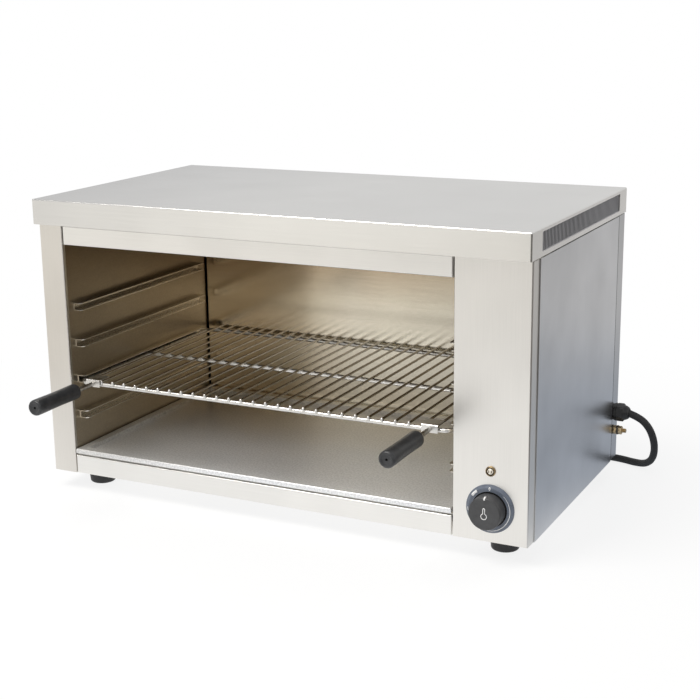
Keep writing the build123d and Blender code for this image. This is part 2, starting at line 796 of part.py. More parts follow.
# Heaters: hairpins of metal tube, with a collar and a terminal pin at each end of the tube.
heater_end = chamber_right + sheet + heater_cold_end
heater_tip = chamber_left + heater_tip_gap
for number in range(heater_count):
    leg_front = heater_leg_places[2 * number]
    leg_back = heater_leg_places[2 * number + 1]
    with BuildPart() as heater:
        with BuildLine(Plane.XY.offset(heater_z)) as hairpin:
            FilletPolyline(
                (heater_end, leg_front),
                (heater_tip, leg_front),
                (heater_tip, leg_back),
                (heater_end, leg_back),
                radius=heater_leg_pitch * hairpin_bend,
            )
        with BuildSketch(hairpin.line ^ 0):
            Circle(heater_radius)
        sweep()
        for start, radius, length in (
            (chamber_right + sheet, collar_radius, collar_length),
            (heater_end, heater_pin_radius, heater_pin_length),
        ):
            with BuildSketch(Plane.YZ.offset(start)):
                with Locations((leg_front, heater_z), (leg_back, heater_z)):
                    Circle(radius)
            extrude(amount=length)
    heater.part.label = f"heater_{number + 1}"
    export_step(heater.part, f"parts/heater_{number + 1}.step")

# Hangers: two combs under the reflector that the hairpins pass through.
hanger_bottom = heater_z - hanger_drop
hanger_top = chamber_top - sheet
hanger_middle = (heater_leg_places[0] + heater_leg_places[-1]) / 2
hanger_length = heater_leg_places[-1] - heater_leg_places[0] + 2 * hanger_overhang
with BuildPart() as heater_hangers:
    for hanger_x in (chamber_left + hanger_inset, chamber_middle + hanger_shift):
        with BuildSketch(Plane.YZ.offset(hanger_x)):
            with Locations((hanger_middle, (hanger_bottom + hanger_top) / 2)):
                Rectangle(hanger_length, hanger_top - hanger_bottom)
            with Locations(*[(leg_y, heater_z) for leg_y in heater_leg_places]):
                Circle(heater_radius + seat, mode=Mode.SUBTRACT)
        extrude(amount=sheet)
heater_hangers.part.label = "heater_hangers"
export_step(heater_hangers.part, "parts/heater_hangers.step")


# ---- Controls ----

# Bezel: a round plate with a sloping edge, between the knob and the panel.
with BuildPart() as knob_bezel:
    with BuildSketch(Plane.XZ.offset(-front)):
        with Locations((knob_x, knob_z)):
            Circle(bezel_radius)
    extrude(amount=bezel_thickness)
    chamfer(
        knob_bezel.faces().sort_by(Axis.Y)[0].edges(),
        bezel_radius - bezel_face_radius,
        bezel_slope,
        reference=knob_bezel.faces().sort_by(Axis.Y)[0],
    )
    with BuildSketch(Plane.XZ.offset(-front)):
        with Locations((knob_x, knob_z)):
            Circle(bushing_radius + fit)
    extrude(amount=bezel_thickness, mode=Mode.SUBTRACT)
knob_bezel.part.label = "knob_bezel"
export_step(knob_bezel.part, "parts/knob_bezel.step")

# Thermostat: a square body behind the panel, with a bushing that the spindle turns in.
thermostat_front = front + sheet + thermostat_setback
with BuildPart() as thermostat_body:
    with BuildSketch(Plane.XZ.offset(-thermostat_front)):
        with Locations((knob_x, knob_z)):
            RectangleRounded(thermostat_width, thermostat_width, thermostat_corner)
    extrude(amount=-thermostat_depth)
    with BuildSketch(Plane.XZ.offset(-thermostat_front)):
        with Locations((knob_x, knob_z)):
            Circle(bushing_radius)
    extrude(amount=thermostat_front - front + bushing_reach)
    with BuildSketch(Plane.XZ.offset(-front - sheet)):
        with Locations((knob_x, knob_z)):
            Circle(bushing_seat_radius)
    extrude(amount=-thermostat_setback)
    with BuildSketch(Plane.XZ.offset(-front + bezel_thickness)):
        with Locations((knob_x, knob_z)):
            Circle(spindle_radius + spindle_clearance)
    extrude(amount=-(bezel_thickness + sheet + thermostat_setback + thermostat_depth / 2), mode=Mode.SUBTRACT)
thermostat_body.part.label = "thermostat_body"
export_step(thermostat_body.part, "parts/thermostat_body.step")

# Spindle: round in the bushing, with a flat where the knob is pushed on.
knob_back = front - bezel_thickness - 2 * seat
knob_front = knob_back - knob_length
spindle_front = knob_back - knob_bore + seat
spindle_back = thermostat_front + thermostat_depth / 2 - seat
with BuildPart() as thermostat_shaft:
    with BuildSketch(Plane.XZ.offset(-spindle_back)):
        with Locations((knob_x, knob_z)):
            Circle(spindle_radius)
    extrude(amount=spindle_back - knob_back)
    with BuildSketch(Plane.XZ.offset(-knob_back)):
        with Locations((knob_x, knob_z)):
            Circle(spindle_radius)
            with Locations((0, -spindle_radius)):
                Rectangle(2 * spindle_radius, 2 * spindle_flat, mode=Mode.SUBTRACT)
    extrude(amount=knob_back - spindle_front)
thermostat_shaft.part.label = "thermostat_shaft"
export_step(thermostat_shaft.part, "parts/thermostat_shaft.step")

# Knob: a plain moulded drum, hollow behind, with a boss that grips the spindle.
with BuildPart() as knob:
    with BuildSketch(Plane.XY.offset(knob_z)):
        with BuildLine():
            Polyline(
                (knob_x, knob_back),
                (knob_x + knob_base_radius, knob_back),
                (knob_x + knob_face_radius, knob_front),
                (knob_x, knob_front),
                close=True,
            )
        make_face()
    revolve(axis=Axis((knob_x, knob_back, knob_z), (0, 1, 0)))
    fillet(knob.edges().filter_by(GeomType.CIRCLE).sort_by(Axis.Y)[0], knob_face_round)
    fillet(knob.edges().filter_by(GeomType.CIRCLE).sort_by(Axis.Y)[-1], knob_base_round)
    with BuildSketch(Plane.XZ.offset(-knob_back)):
        with Locations((knob_x, knob_z)):
            Circle(knob_face_radius - knob_wall)
            Circle(knob_boss_radius, mode=Mode.SUBTRACT)
    extrude(amount=knob_hollow, mode=Mode.SUBTRACT)
    with BuildSketch(Plane.XZ.offset(-knob_back)):
        with Locations((knob_x, knob_z)):
            Circle(spindle_radius + spindle_clearance)
            with Locations((0, -spindle_radius)):
                Rectangle(2 * spindle_radius, 2 * (spindle_flat - spindle_clearance), mode=Mode.SUBTRACT)
    extrude(amount=knob_bore, mode=Mode.SUBTRACT)
knob.part.label = "knob"
export_step(knob.part, "parts/knob.step")

# Thermostat sensor: a bulb under the reflector, joined to the thermostat by a thin capillary.
capillary_start = (
    knob_x - thermostat_width / 2 + capillary_inset,
    thermostat_front + thermostat_depth,
    knob_z,
)
with BuildPart() as thermostat_sensor:
    with BuildLine() as capillary:
        FilletPolyline(
            capillary_start,
            (capillary_start[0], capillary_start[1] + capillary_lead, knob_z),
            (capillary_start[0], bulb_front - bulb_lead, bulb_z),
            (bulb_x, bulb_front - bulb_lead, bulb_z),
            (bulb_x, bulb_front + seat, bulb_z),
            radius=capillary_bend,
        )
    with BuildSketch(capillary.line ^ 0):
        Circle(capillary_radius)
    sweep()
    with BuildSketch(Plane.XZ.offset(-bulb_front)):
        with Locations((bulb_x, bulb_z)):
            Circle(bulb_radius)
    extrude(amount=-bulb_length)
thermostat_sensor.part.label = "thermostat_sensor"
export_step(thermostat_sensor.part, "parts/thermostat_sensor.step")

# Pilot lamp: a barrel through the panel, a turned ring in front and a domed lens.
with BuildPart() as pilot_body:
    with BuildSketch(Plane.XZ.offset(-front)):
        with Locations((knob_x, pilot_z)):
            Circle(pilot_barrel_radius)
    extrude(amount=-pilot_length)
    with BuildSketch(Plane.XZ.offset(-front - sheet)):
        with Locations((knob_x, pilot_z)):
            RegularPolygon(pilot_nut_radius, 6)
    extrude(amount=-pilot_nut_thickness)
    with BuildSketch(Plane.XZ.offset(-front - pilot_length)):
        with Locations((knob_x, pilot_z)):
            with GridLocations(pilot_tab_spacing, 0, 2, 1):
                Rectangle(pilot_tab_thickness, pilot_tab_width)
    extrude(amount=-pilot_tab_length)
pilot_body.part.label = "pilot_body"
export_step(pilot_body.part, "parts/pilot_body.step")

with BuildPart() as pilot_bezel:
    with BuildSketch(Plane.XZ.offset(-front)):
        with Locations((knob_x, pilot_z)):
            Circle(pilot_radius)
            Circle(pilot_lens_radius + fit, mode=Mode.SUBTRACT)
    extrude(amount=pilot_ring_thickness)
    fillet(pilot_bezel.edges().group_by(Axis.Y)[0].sort_by(SortBy.RADIUS)[-1], pilot_ring_round)
pilot_bezel.part.label = "pilot_bezel"
export_step(pilot_bezel.part, "parts/pilot_bezel.step")

with BuildPart() as pilot_lens:
    with BuildSketch(Plane.XZ.offset(-front)):
        with Locations((knob_x, pilot_z)):
            Circle(pilot_lens_radius)
    extrude(amount=pilot_ring_thickness + lens_dome)
    fillet(pilot_lens.faces().sort_by(Axis.Y)[0].edges(), lens_round)
pilot_lens.part.label = "pilot_lens"
export_step(pilot_lens.part, "parts/pilot_lens.step")


# ---- Mains side ----

# Terminal block on the base pan, between the chamber's floor plate and the side.
block_x = right - (panel_width - flange) / 2
block_y = back - block_from_back
with BuildPart() as terminal_block:
    with BuildSketch(Plane.XY.offset(base + sheet)):
        with Locations((block_x, block_y)):
            RectangleRounded(block_width, block_length, block_corner)
    extrude(amount=block_height)
    with Locations((block_x, block_y, base + sheet + block_height)):
        with GridLocations(block_width / 2, block_length / block_ways, 2, block_ways):
            CounterBoreHole(
                block_screw_radius,
                block_well_radius,
                block_well_depth,
                depth=block_height - block_floor,
            )
terminal_block.part.label = "terminal_block"
export_step(terminal_block.part, "parts/terminal_block.step")

# Cable gland: a threaded body through the rear strip, a hexagon outside and a locknut inside.
gland_hex_radius = gland_across / 3**0.5
gland_bore = cord_radius + gland_play
with BuildPart() as gland_body:
    with BuildSketch(Plane.YZ.offset(right - gland_inside)):
        with Locations((gland_y, gland_z)):
            Circle(gland_thread_radius)
    extrude(amount=gland_inside)
    with BuildSketch(Plane.YZ.offset(right)):
        with Locations((gland_y, gland_z)):
            RegularPolygon(gland_hex_radius, 6, rotation=30)
    extrude(amount=gland_collar)
    with BuildSketch(Plane.YZ.offset(right - gland_inside)):
        with Locations((gland_y, gland_z)):
            Circle(gland_bore)
    extrude(amount=gland_inside + gland_collar, mode=Mode.SUBTRACT)
gland_body.part.label = "gland_body"
export_step(gland_body.part, "parts/gland_body.step")

with BuildPart() as gland_nut:
    with BuildSketch(Plane.YZ.offset(right + gland_collar)):
        with Locations((gland_y, gland_z)):
            RegularPolygon(gland_hex_radius, 6, rotation=30)
    extrude(amount=gland_nut_length)
    with BuildSketch(Plane.YZ.offset(right + gland_collar + gland_nut_length)):
        with Locations((gland_y, gland_z)):
            Circle(gland_across / 2 - gland_shoulder)
    with BuildSketch(Plane.YZ.offset(right + gland_collar + gland_nut_length + gland_dome)):
        with Locations((gland_y, gland_z)):
            Circle(gland_mouth_radius)
    loft()
    fillet(gland_nut.faces().sort_by(Axis.X)[-1].edges(), gland_mouth_round)
    with BuildSketch(Plane.YZ.offset(right + gland_collar)):
        with Locations((gland_y, gland_z)):
            Circle(gland_bore)
    extrude(amount=gland_nut_length + gland_dome, mode=Mode.SUBTRACT)
gland_nut.part.label = "gland_nut"
export_step(gland_nut.part, "parts/gland_nut.step")

with BuildPart() as gland_locknut:
    with BuildSketch(Plane.YZ.offset(right - sheet)):
        with Locations((gland_y, gland_z)):
            RegularPolygon(gland_hex_radius, 6, rotation=30)
            Circle(gland_thread_radius + fit, mode=Mode.SUBTRACT)
    extrude(amount=-gland_locknut_thickness)
gland_locknut.part.label = "gland_locknut"
export_step(gland_locknut.part, "parts/gland_locknut.step")

# Bonding stud: a brass screw through the rear strip, for an earth bonding lead.
with BuildPart() as bonding_stud:
    with BuildSketch(Plane.YZ.offset(right - stud_inside)):
        with Locations((stud_y, stud_z)):
            Circle(stud_radius)
    extrude(amount=stud_inside + stud_reach)
    chamfer(bonding_stud.faces().sort_by(Axis.X)[-1].edges(), stud_chamfer)
bonding_stud.part.label = "bonding_stud"
export_step(bonding_stud.part, "parts/bonding_stud.step")

# Its nuts and washers: a nut inside, then washer, nut, two washers and nut outside.
nut_radius = stud_nut_across / 3**0.5
stack_parts = (
    (Circle, stud_washer_radius, stud_washer),
    (RegularPolygon, nut_radius, stud_nut_thickness),
    (Circle, stud_washer_radius, stud_washer),
    (Circle, stud_washer_radius, stud_washer),
    (RegularPolygon, nut_radius, stud_nut_thickness),
)
stud_stack = [(RegularPolygon, nut_radius, right - sheet - stud_nut_thickness, stud_nut_thickness)]
stack_end = right
for outline, radius, thickness in stack_parts:
    stud_stack.append((outline, radius, stack_end + weld_gap, thickness))
    stack_end += thickness + weld_gap
with BuildPart() as bonding_nuts:
    for outline, radius, start, thickness in stud_stack:
        with BuildSketch(Plane.YZ.offset(start)):
            with Locations((stud_y, stud_z)):
                outline(radius, 6) if outline is RegularPolygon else outline(radius)
                Circle(stud_radius + spindle_clearance, mode=Mode.SUBTRACT)
        extrude(amount=thickness)
bonding_nuts.part.label = "bonding_nuts"
export_step(bonding_nuts.part, "parts/bonding_nuts.step")


# ---- Supply cord ----

# The cord drops from the gland to the bench, runs along the back of the casing and is wound there.
lead_route = [
    (339.75, 219.65, 90.0),
    (355.0, 219.7, 85.6),
    (367.05, 221.2, 74.0),
    (373.05, 225.9, 57.5),
    (373.35, 234.4, 38.5),
    (367.75, 245.9, 21.0),
    (355.75, 258.9, 9.0),
    (338.75, 269.9, 5.0),
    (316.75, 277.9, 5.0),
    (287.75, 280.9, 5.0),
    (250.75, 276.9, 5.0),
    (204.75, 266.9, 5.0),
    (148.75, 255.7, 5.0),
    (88.05, 250.95, 5.0),
]
tail_route = [
    (88.05, 377.35, 14.75),
    (114.75, 378.1, 13.6),
    (138.75, 379.3, 13.4),
    (159.75, 379.9, 16.2),
    (177.75, 380.1, 18.8),
]
coil_centre = (88.05, 314.15)
coil_outer_radius = 63.2  # cord's middle on the outer turns
coil_inner_radius = 53.2
coil_layers = 2
coil_round = 4.6
arc_share = 0.45  # an arc's tangent as a share of the shorter run beside it


def corner_radii(route):
    """Radius of the arc at each inner point of a route, as large as its two runs allow."""
    radii = []
    for before, point, after in zip(route, route[1:], route[2:]):
        arriving = Vector(*point) - Vector(*before)
        leaving = Vector(*after) - Vector(*point)
        shorter = min(arriving.length, leaving.length)
        radii.append(arc_share * shorter / tan(radians(arriving.get_angle(leaving) / 2)))
    return radii


for route, cord_name in ((lead_route, "cord_lead"), (tail_route, "cord_tail")):
    radii = corner_radii(route)
    with BuildPart() as cord:
        with BuildLine() as cord_path:
            FilletPolyline(*route, radius=radii)
        with BuildSketch(cord_path.line ^ 0):
            Circle(cord_radius)
        sweep()
    print(cord_name, "radii", [round(radius, 1) for radius in radii])
    cord_length = sum(edge.length for edge in cord_path.line.edges())
    volume_ratio = cord.part.volume / (pi * cord_radius**2 * cord_length)
    print(cord_name, "length", round(cord_length, 1), "volume ratio", round(volume_ratio, 4))
    cord.part.label = cord_name
    export_step(cord.part, f"parts/{cord_name}.step")

# The coil's outer shape: turns beside and on each other.
coil_middle_radius = (coil_outer_radius + coil_inner_radius) / 2
with BuildPart() as cord_coil:
    with BuildSketch(Plane.XZ.offset(-coil_centre[1])):
        with Locations((coil_centre[0] + coil_middle_radius, coil_layers * cord_radius + fit)):
            RectangleRounded(
                coil_outer_radius - coil_inner_radius + 2 * cord_radius,
                coil_layers * 2 * cord_radius,
                coil_round,
            )
    revolve(axis=Axis((coil_centre[0], coil_centre[1], 0), (0, 0, 1)))
cord_coil.part.label = "cord_coil"
export_step(cord_coil.part, "parts/cord_coil.step")

# Plug: a moulded round body with a tapered sleeve, and two round pins.
plug_radius = 18.5
plug_x, plug_y, plug_z = 176.75, 380.1, 18.8
sleeve_length = 24.0
plug_body_length = 36.0
plug_shoulder = 8.0
plug_round = 2.5
sleeve_tip_wall = 1.4
sleeve_root_wall = 4.5
plug_front = plug_x + sleeve_length + plug_body_length
with BuildPart() as plug_body:
    with BuildSketch(Plane.XZ.offset(-plug_y)):
        with BuildLine():
            Polyline(
                (plug_front, plug_z),
                (plug_x, plug_z),
                (plug_x, plug_z + cord_radius + sleeve_tip_wall),
                (plug_x + sleeve_length, plug_z + cord_radius + sleeve_root_wall),
                (plug_x + sleeve_length + plug_shoulder, plug_z + plug_radius),
                (plug_front, plug_z + plug_radius),
                close=True,
            )
        make_face()
    revolve(axis=Axis((plug_x, plug_y, plug_z), (1, 0, 0)))
    fillet(plug_body.faces().sort_by(Axis.X)[-1].edges(), plug_round)
plug_body.part.label = "plug_body"
export_step(plug_body.part, "parts/plug_body.step")

pin_radius = 2.4
pin_length = 19.0
pin_spacing = 19.0
pin_round = 2.0
with BuildPart() as plug_pins:
    with BuildSketch(Plane.YZ.offset(plug_front)):
        with Locations((plug_y - pin_spacing / 2, plug_z), (plug_y + pin_spacing / 2, plug_z)):
            Circle(pin_radius)
    extrude(amount=pin_length)
    fillet(plug_pins.edges().group_by(Axis.X)[-1], pin_round)
plug_pins.part.label = "plug_pins"
export_step(plug_pins.part, "parts/plug_pins.step")
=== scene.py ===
import math

import bmesh
import bpy
from mathutils import Matrix, Vector


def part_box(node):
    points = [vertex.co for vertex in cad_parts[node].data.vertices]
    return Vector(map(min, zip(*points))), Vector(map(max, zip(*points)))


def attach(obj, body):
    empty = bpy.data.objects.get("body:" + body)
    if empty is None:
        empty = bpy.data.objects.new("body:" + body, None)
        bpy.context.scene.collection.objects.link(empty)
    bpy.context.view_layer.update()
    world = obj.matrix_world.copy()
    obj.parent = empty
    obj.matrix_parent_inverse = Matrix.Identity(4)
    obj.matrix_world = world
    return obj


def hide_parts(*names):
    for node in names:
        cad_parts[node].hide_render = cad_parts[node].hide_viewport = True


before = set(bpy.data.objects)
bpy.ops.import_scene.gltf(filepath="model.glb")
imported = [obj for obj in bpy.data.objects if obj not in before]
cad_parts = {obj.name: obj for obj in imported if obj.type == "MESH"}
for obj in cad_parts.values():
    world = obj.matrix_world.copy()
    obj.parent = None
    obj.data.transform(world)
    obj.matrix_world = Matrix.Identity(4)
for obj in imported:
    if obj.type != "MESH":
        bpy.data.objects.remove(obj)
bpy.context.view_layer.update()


# ---- View ----
# The camera stands to the front right of the appliance and a little above its cover, so
# that the open chamber, the controls and the mains side are all in view.
view_right = Vector((0.897914, 0.440019, -0.011531))
view_up = Vector((-0.100257, 0.229954, 0.968024))
view_from = Vector((0.79727, -1.53751, 0.64105))
view_data = bpy.data.cameras.new("view")
view_data.lens = 72.21
view_data.sensor_width = 36.0
view = bpy.data.objects.new("view", view_data)
bpy.context.scene.collection.objects.link(view)
view_axes = Matrix((view_right, view_up, view_right.cross(view_up))).transposed()
view.matrix_world = Matrix.Translation(view_from) @ view_axes.to_4x4()
bpy.context.scene.camera = view


# ---- Supply cord ----
# Round rubber cord, 9.7 mm thick and 1.74 m long. It drops from the gland to the bench and
# is wound behind the casing into a flat round coil, held by a tie, with its plug beside it.
def new_finish(name, colour, rough, metal=0.0, **sockets):
    """A material with its plain values set on the shader itself."""
    finish = bpy.data.materials.new(name)
    finish.use_nodes = True
    shader = finish.node_tree.nodes["Principled BSDF"]
    shader.inputs["Base Color"].default_value = (*colour, 1.0)
    shader.inputs["Roughness"].default_value = rough
    shader.inputs["Metallic"].default_value = metal
    for socket, value in sockets.items():
        shader.inputs[socket.replace("_", " ")].default_value = value
    return finish


def grain(finish, size, stretch=(1.0, 1.0, 1.0), detail=3.0, uneven=0.55):
    """Noise over the material in the frame's own metres; size is its grains per metre."""
    tree = finish.node_tree
    place = tree.nodes.new("ShaderNodeTexCoord")
    scaled = tree.nodes.new("ShaderNodeMapping")
    scaled.inputs["Scale"].default_value = stretch
    noise = tree.nodes.new("ShaderNodeTexNoise")
    noise.inputs["Scale"].default_value = size
    noise.inputs["Detail"].default_value = detail
    noise.inputs["Roughness"].default_value = uneven
    tree.links.new(place.outputs["Object"], scaled.inputs["Vector"])
    tree.links.new(scaled.outputs["Vector"], noise.inputs["Vector"])
    return noise.outputs["Fac"]


def spread(finish, source, low, high, start=0.3, end=0.7):
    """Turns noise into a value or a colour between low and high."""
    tree = finish.node_tree
    if isinstance(low, tuple):
        ramp = tree.nodes.new("ShaderNodeValToRGB")
        ramp.color_ramp.elements[0].position = start
        ramp.color_ramp.elements[0].color = (*low, 1.0)
        ramp.color_ramp.elements[1].position = end
        ramp.color_ramp.elements[1].color = (*high, 1.0)
        tree.links.new(source, ramp.inputs["Fac"])
        return ramp.outputs["Color"]
    fit = tree.nodes.new("ShaderNodeMapRange")
    fit.inputs["From Min"].default_value = start
    fit.inputs["From Max"].default_value = end
    fit.inputs["To Min"].default_value = low
    fit.inputs["To Max"].default_value = high
    tree.links.new(source, fit.inputs["Value"])
    return fit.outputs["Result"]


def drive(finish, socket, source):
    """Links a colour or a value to one of the shader's sockets."""
    shader = finish.node_tree.nodes["Principled BSDF"]
    finish.node_tree.links.new(source, shader.inputs[socket])


def vary(finish, socket, source, low, high, start=0.3, end=0.7):
    """Lets noise move one of the shader's sockets between low and high."""
    drive(finish, socket, spread(finish, source, low, high, start, end))


def mottle(finish, size, dark, light, smooth, rough, detail=3.0):
    """Lets one noise move the colour and the roughness together."""
    source = grain(finish, size, detail=detail)
    vary(finish, "Base Color", source, dark, light)
    vary(finish, "Roughness", source, smooth, rough)


def relief(finish, source, depth, under=None):
    """Raises the surface by up to depth metres where the noise is high."""
    tree = finish.node_tree
    bump = tree.nodes.new("ShaderNodeBump")
    bump.inputs["Strength"].default_value = 1.0
    bump.inputs["Distance"].default_value = depth
    tree.links.new(source, bump.inputs["Height"])
    if under is not None:
        tree.links.new(under, bump.inputs["Normal"])
    drive(finish, "Normal", bump.outputs["Normal"])
    return bump.outputs["Normal"]


def paint(finish, *things):
    """Gives objects, or the frame's nodes by name, this finish and no other."""
    for thing in things:
        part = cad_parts[thing] if isinstance(thing, str) else thing
        part.data.materials.clear()
        part.data.materials.append(finish)


cord_rubber = new_finish("cord_rubber", (0.018, 0.018, 0.019), 0.55)
mottle(cord_rubber, 60.0, (0.014, 0.014, 0.015), (0.028, 0.028, 0.029), 0.46, 0.66)
relief(cord_rubber, grain(cord_rubber, 1400.0, detail=2.0), 0.00003)

cord_radius = 0.00485
lead_points = [
    (0.33975, 0.21965, 0.0900),
    (0.3550, 0.2197, 0.0856),
    (0.36705, 0.2212, 0.0740),
    (0.37305, 0.2259, 0.0575),
    (0.37335, 0.2344, 0.0385),
    (0.36775, 0.2459, 0.0210),
    (0.35575, 0.2589, 0.0090),
    (0.33875, 0.2699, 0.0050),
    (0.31675, 0.2779, 0.0050),
    (0.28775, 0.2809, 0.0050),
    (0.25075, 0.2769, 0.0050),
    (0.20475, 0.2669, 0.0050),
    (0.14875, 0.2557, 0.0050),
]
tail_points = [
    (0.11475, 0.3781, 0.0136),
    (0.13875, 0.3793, 0.0134),
    (0.15975, 0.3799, 0.0162),
    (0.17775, 0.3801, 0.0188),
]
coil_middle = Vector((0.08805, 0.31415))
outer_turn, inner_turn = 0.0632, 0.0532
low_layer, high_layer = 0.0050, 0.01475
climb_dip = 0.0047  # the cord dips inwards where it climbs to the upper layer
turn_count, points_a_turn = 3.5, 16
# Each turn's first and last radius, then its first and last height. It changes from one to
# the other in its last quarter.
coil_turns = (
    (outer_turn, inner_turn, low_layer, low_layer),
    (inner_turn, inner_turn, low_layer, high_layer),
    (inner_turn, outer_turn, high_layer, high_layer),
    (outer_turn, outer_turn, high_layer, high_layer),
)
coil_points = []
for step in range(int(turn_count * points_a_turn) + 1):
    start_radius, end_radius, start_height, end_height = coil_turns[step // points_a_turn]
    along = step % points_a_turn / points_a_turn
    change = max(0.0, along * 4 - 3)
    blend = change * change * (3 - 2 * change)
    radius = start_radius + (end_radius - start_radius) * blend
    if end_height > start_height:
        radius -= climb_dip * math.sin(math.pi * change)
    radius /= math.cos(math.pi / points_a_turn)
    angle = -math.pi / 2 - 2 * math.pi * along
    coil_points.append((
        coil_middle.x + radius * math.cos(angle),
        coil_middle.y + radius * math.sin(angle),
        start_height + (end_height - start_height) * blend,
    ))

cord_line = bpy.data.curves.new("supply_cord", "CURVE")
cord_line.dimensions = "3D"
cord_line.bevel_depth = cord_radius
cord_line.bevel_resolution = 5
cord_line.resolution_u = 10
cord_line.use_fill_caps = True
spline = cord_line.splines.new("NURBS")
cord_points = lead_points + coil_points + tail_points
spline.points.add(len(cord_points) - 1)
for place, point in zip(spline.points, cord_points):
    place.co = (*point, 1.0)
spline.order_u = 3
spline.use_endpoint_u = True
supply_cord = bpy.data.objects.new("supply_cord", cord_line)
bpy.context.scene.collection.objects.link(supply_cord)
paint(cord_rubber, supply_cord)
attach(supply_cord, "casing")
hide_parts("cord_lead", "cord_coil", "cord_tail")


def add_piece(name, shape, body, finish):
    """Turns built faces into a piece that rides on one of the frame's bodies."""
    bmesh.ops.recalc_face_normals(shape, faces=shape.faces)
    mesh = bpy.data.meshes.new(name)
    shape.to_mesh(mesh)
    shape.free()
    mesh.polygons.foreach_set("use_smooth", [True] * len(mesh.polygons))
    mesh.set_sharp_from_angle(angle=math.radians(35))  # only real edges stay sharp
    mesh.materials.append(finish)
    piece = bpy.data.objects.new(name, mesh)
    bpy.context.scene.collection.objects.link(piece)
    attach(piece, body)
    return piece


def turn(shape, places, axis, profile, steps=48, across=None, start=0.0):
    """Adds a turned form at each place: (distance along the axis, radius) pairs swept round.

    With a size across flats, the form is also cut to a hexagon of that size.
    """
    along = Vector(axis).normalized()
    side = along.orthogonal().normalized()
    up = along.cross(side)
    closed = profile[0] == profile[-1]
    for place in places:
        rings = []
        for reach, radius in profile[:-1] if closed else profile:
            centre = Vector(place) + along * reach
            if radius == 0:
                rings.append([shape.verts.new(centre)])
                continue
            ring = []
            for step in range(steps):
                angle = start + 2 * math.pi * step / steps
                limit = radius
                if across and radius > across / 2 - 1e-6:
                    from_flat = (angle + math.pi / 6) % (math.pi / 3) - math.pi / 6
                    limit = min(radius, across / 2 / math.cos(from_flat))
                outward = side * math.cos(angle) + up * math.sin(angle)
                ring.append(shape.verts.new(centre + outward * limit))
            rings.append(ring)
        if closed:
            rings.append(rings[0])
        for near, far in zip(rings, rings[1:]):
            for step in range(steps):
                after = (step + 1) % steps
                if len(near) == 1:
                    shape.faces.new((near[0], far[after], far[step]))
                elif len(far) == 1:
                    shape.faces.new((near[step], near[after], far[0]))
                else:
                    shape.faces.new((near[step], near[after], far[after], far[step]))


def skin(shape, rings):
    """Joins rings of corners with faces, each ring to the next."""
    for near, far in zip(rings, rings[1:]):
        for corner in range(len(near)):
            after = (corner + 1) % len(near)
            shape.faces.new((near[corner], near[after], far[after], far[corner]))


# The plug is moulded rubber with a ribbed sleeve, two plated pins and two earth clips.
plug_low, plug_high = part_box("plug_body")
plug_centre = Vector((plug_low.x, (plug_low.y + plug_high.y) / 2, (plug_low.z + plug_high.z) / 2))
plug_radius = (plug_high.y - plug_low.y) / 2
plug_rubber = new_finish("plug_rubber", (0.020, 0.020, 0.021), 0.5)
vary(plug_rubber, "Roughness", grain(plug_rubber, 90.0), 0.42, 0.6)
relief(plug_rubber, grain(plug_rubber, 2200.0, detail=2.0), 0.00004)
paint(plug_rubber, "plug_body")
first_rib, rib_pitch, rib_count = 0.003, 0.004, 5
rib_profile = [
    (-0.0008, 0.0073), (-0.0006, 0.0086), (0.0006, 0.0086), (0.0008, 0.0073), (-0.0008, 0.0073)]
rib_places = [
    plug_centre + Vector((first_rib + rib_pitch * rib, 0, 0)) for rib in range(rib_count)]
rib_shape = bmesh.new()
turn(rib_shape, rib_places, (1, 0, 0), rib_profile, 40)
add_piece("plug_ribs", rib_shape, "casing", plug_rubber)
pin_plating = new_finish("pin_plating", (0.66, 0.62, 0.52), 0.28, metal=1.0)
vary(pin_plating, "Roughness", grain(pin_plating, 900.0, (0.05, 1, 1)), 0.2, 0.38)
paint(pin_plating, "plug_pins")
# Distance from the plug's rear end, and height above its side.
clip_line = [(0.030, 0.0), (0.036, 0.0006), (0.052, 0.0006), (0.0595, -0.0006), (0.0598, -0.006)]
clip_half_width, clip_sunk = 0.0028, 0.0004
clip_shape = bmesh.new()
for up in (1, -1):
    line = []
    for reach, lift in clip_line:
        x = plug_centre.x + reach
        z = plug_centre.z + up * (plug_radius + lift - clip_sunk)
        line.append([
            clip_shape.verts.new((x, plug_centre.y + wide, z))
            for wide in (-clip_half_width, clip_half_width)])
    for near, far in zip(line, line[1:]):
        clip_shape.faces.new((near[0], near[1], far[1], far[0]))
plug_clips = add_piece("plug_clips", clip_shape, "casing", pin_plating)
thicken = plug_clips.modifiers.new("sheet", "SOLIDIFY")
thicken.thickness = 0.0005
thicken.offset = -1

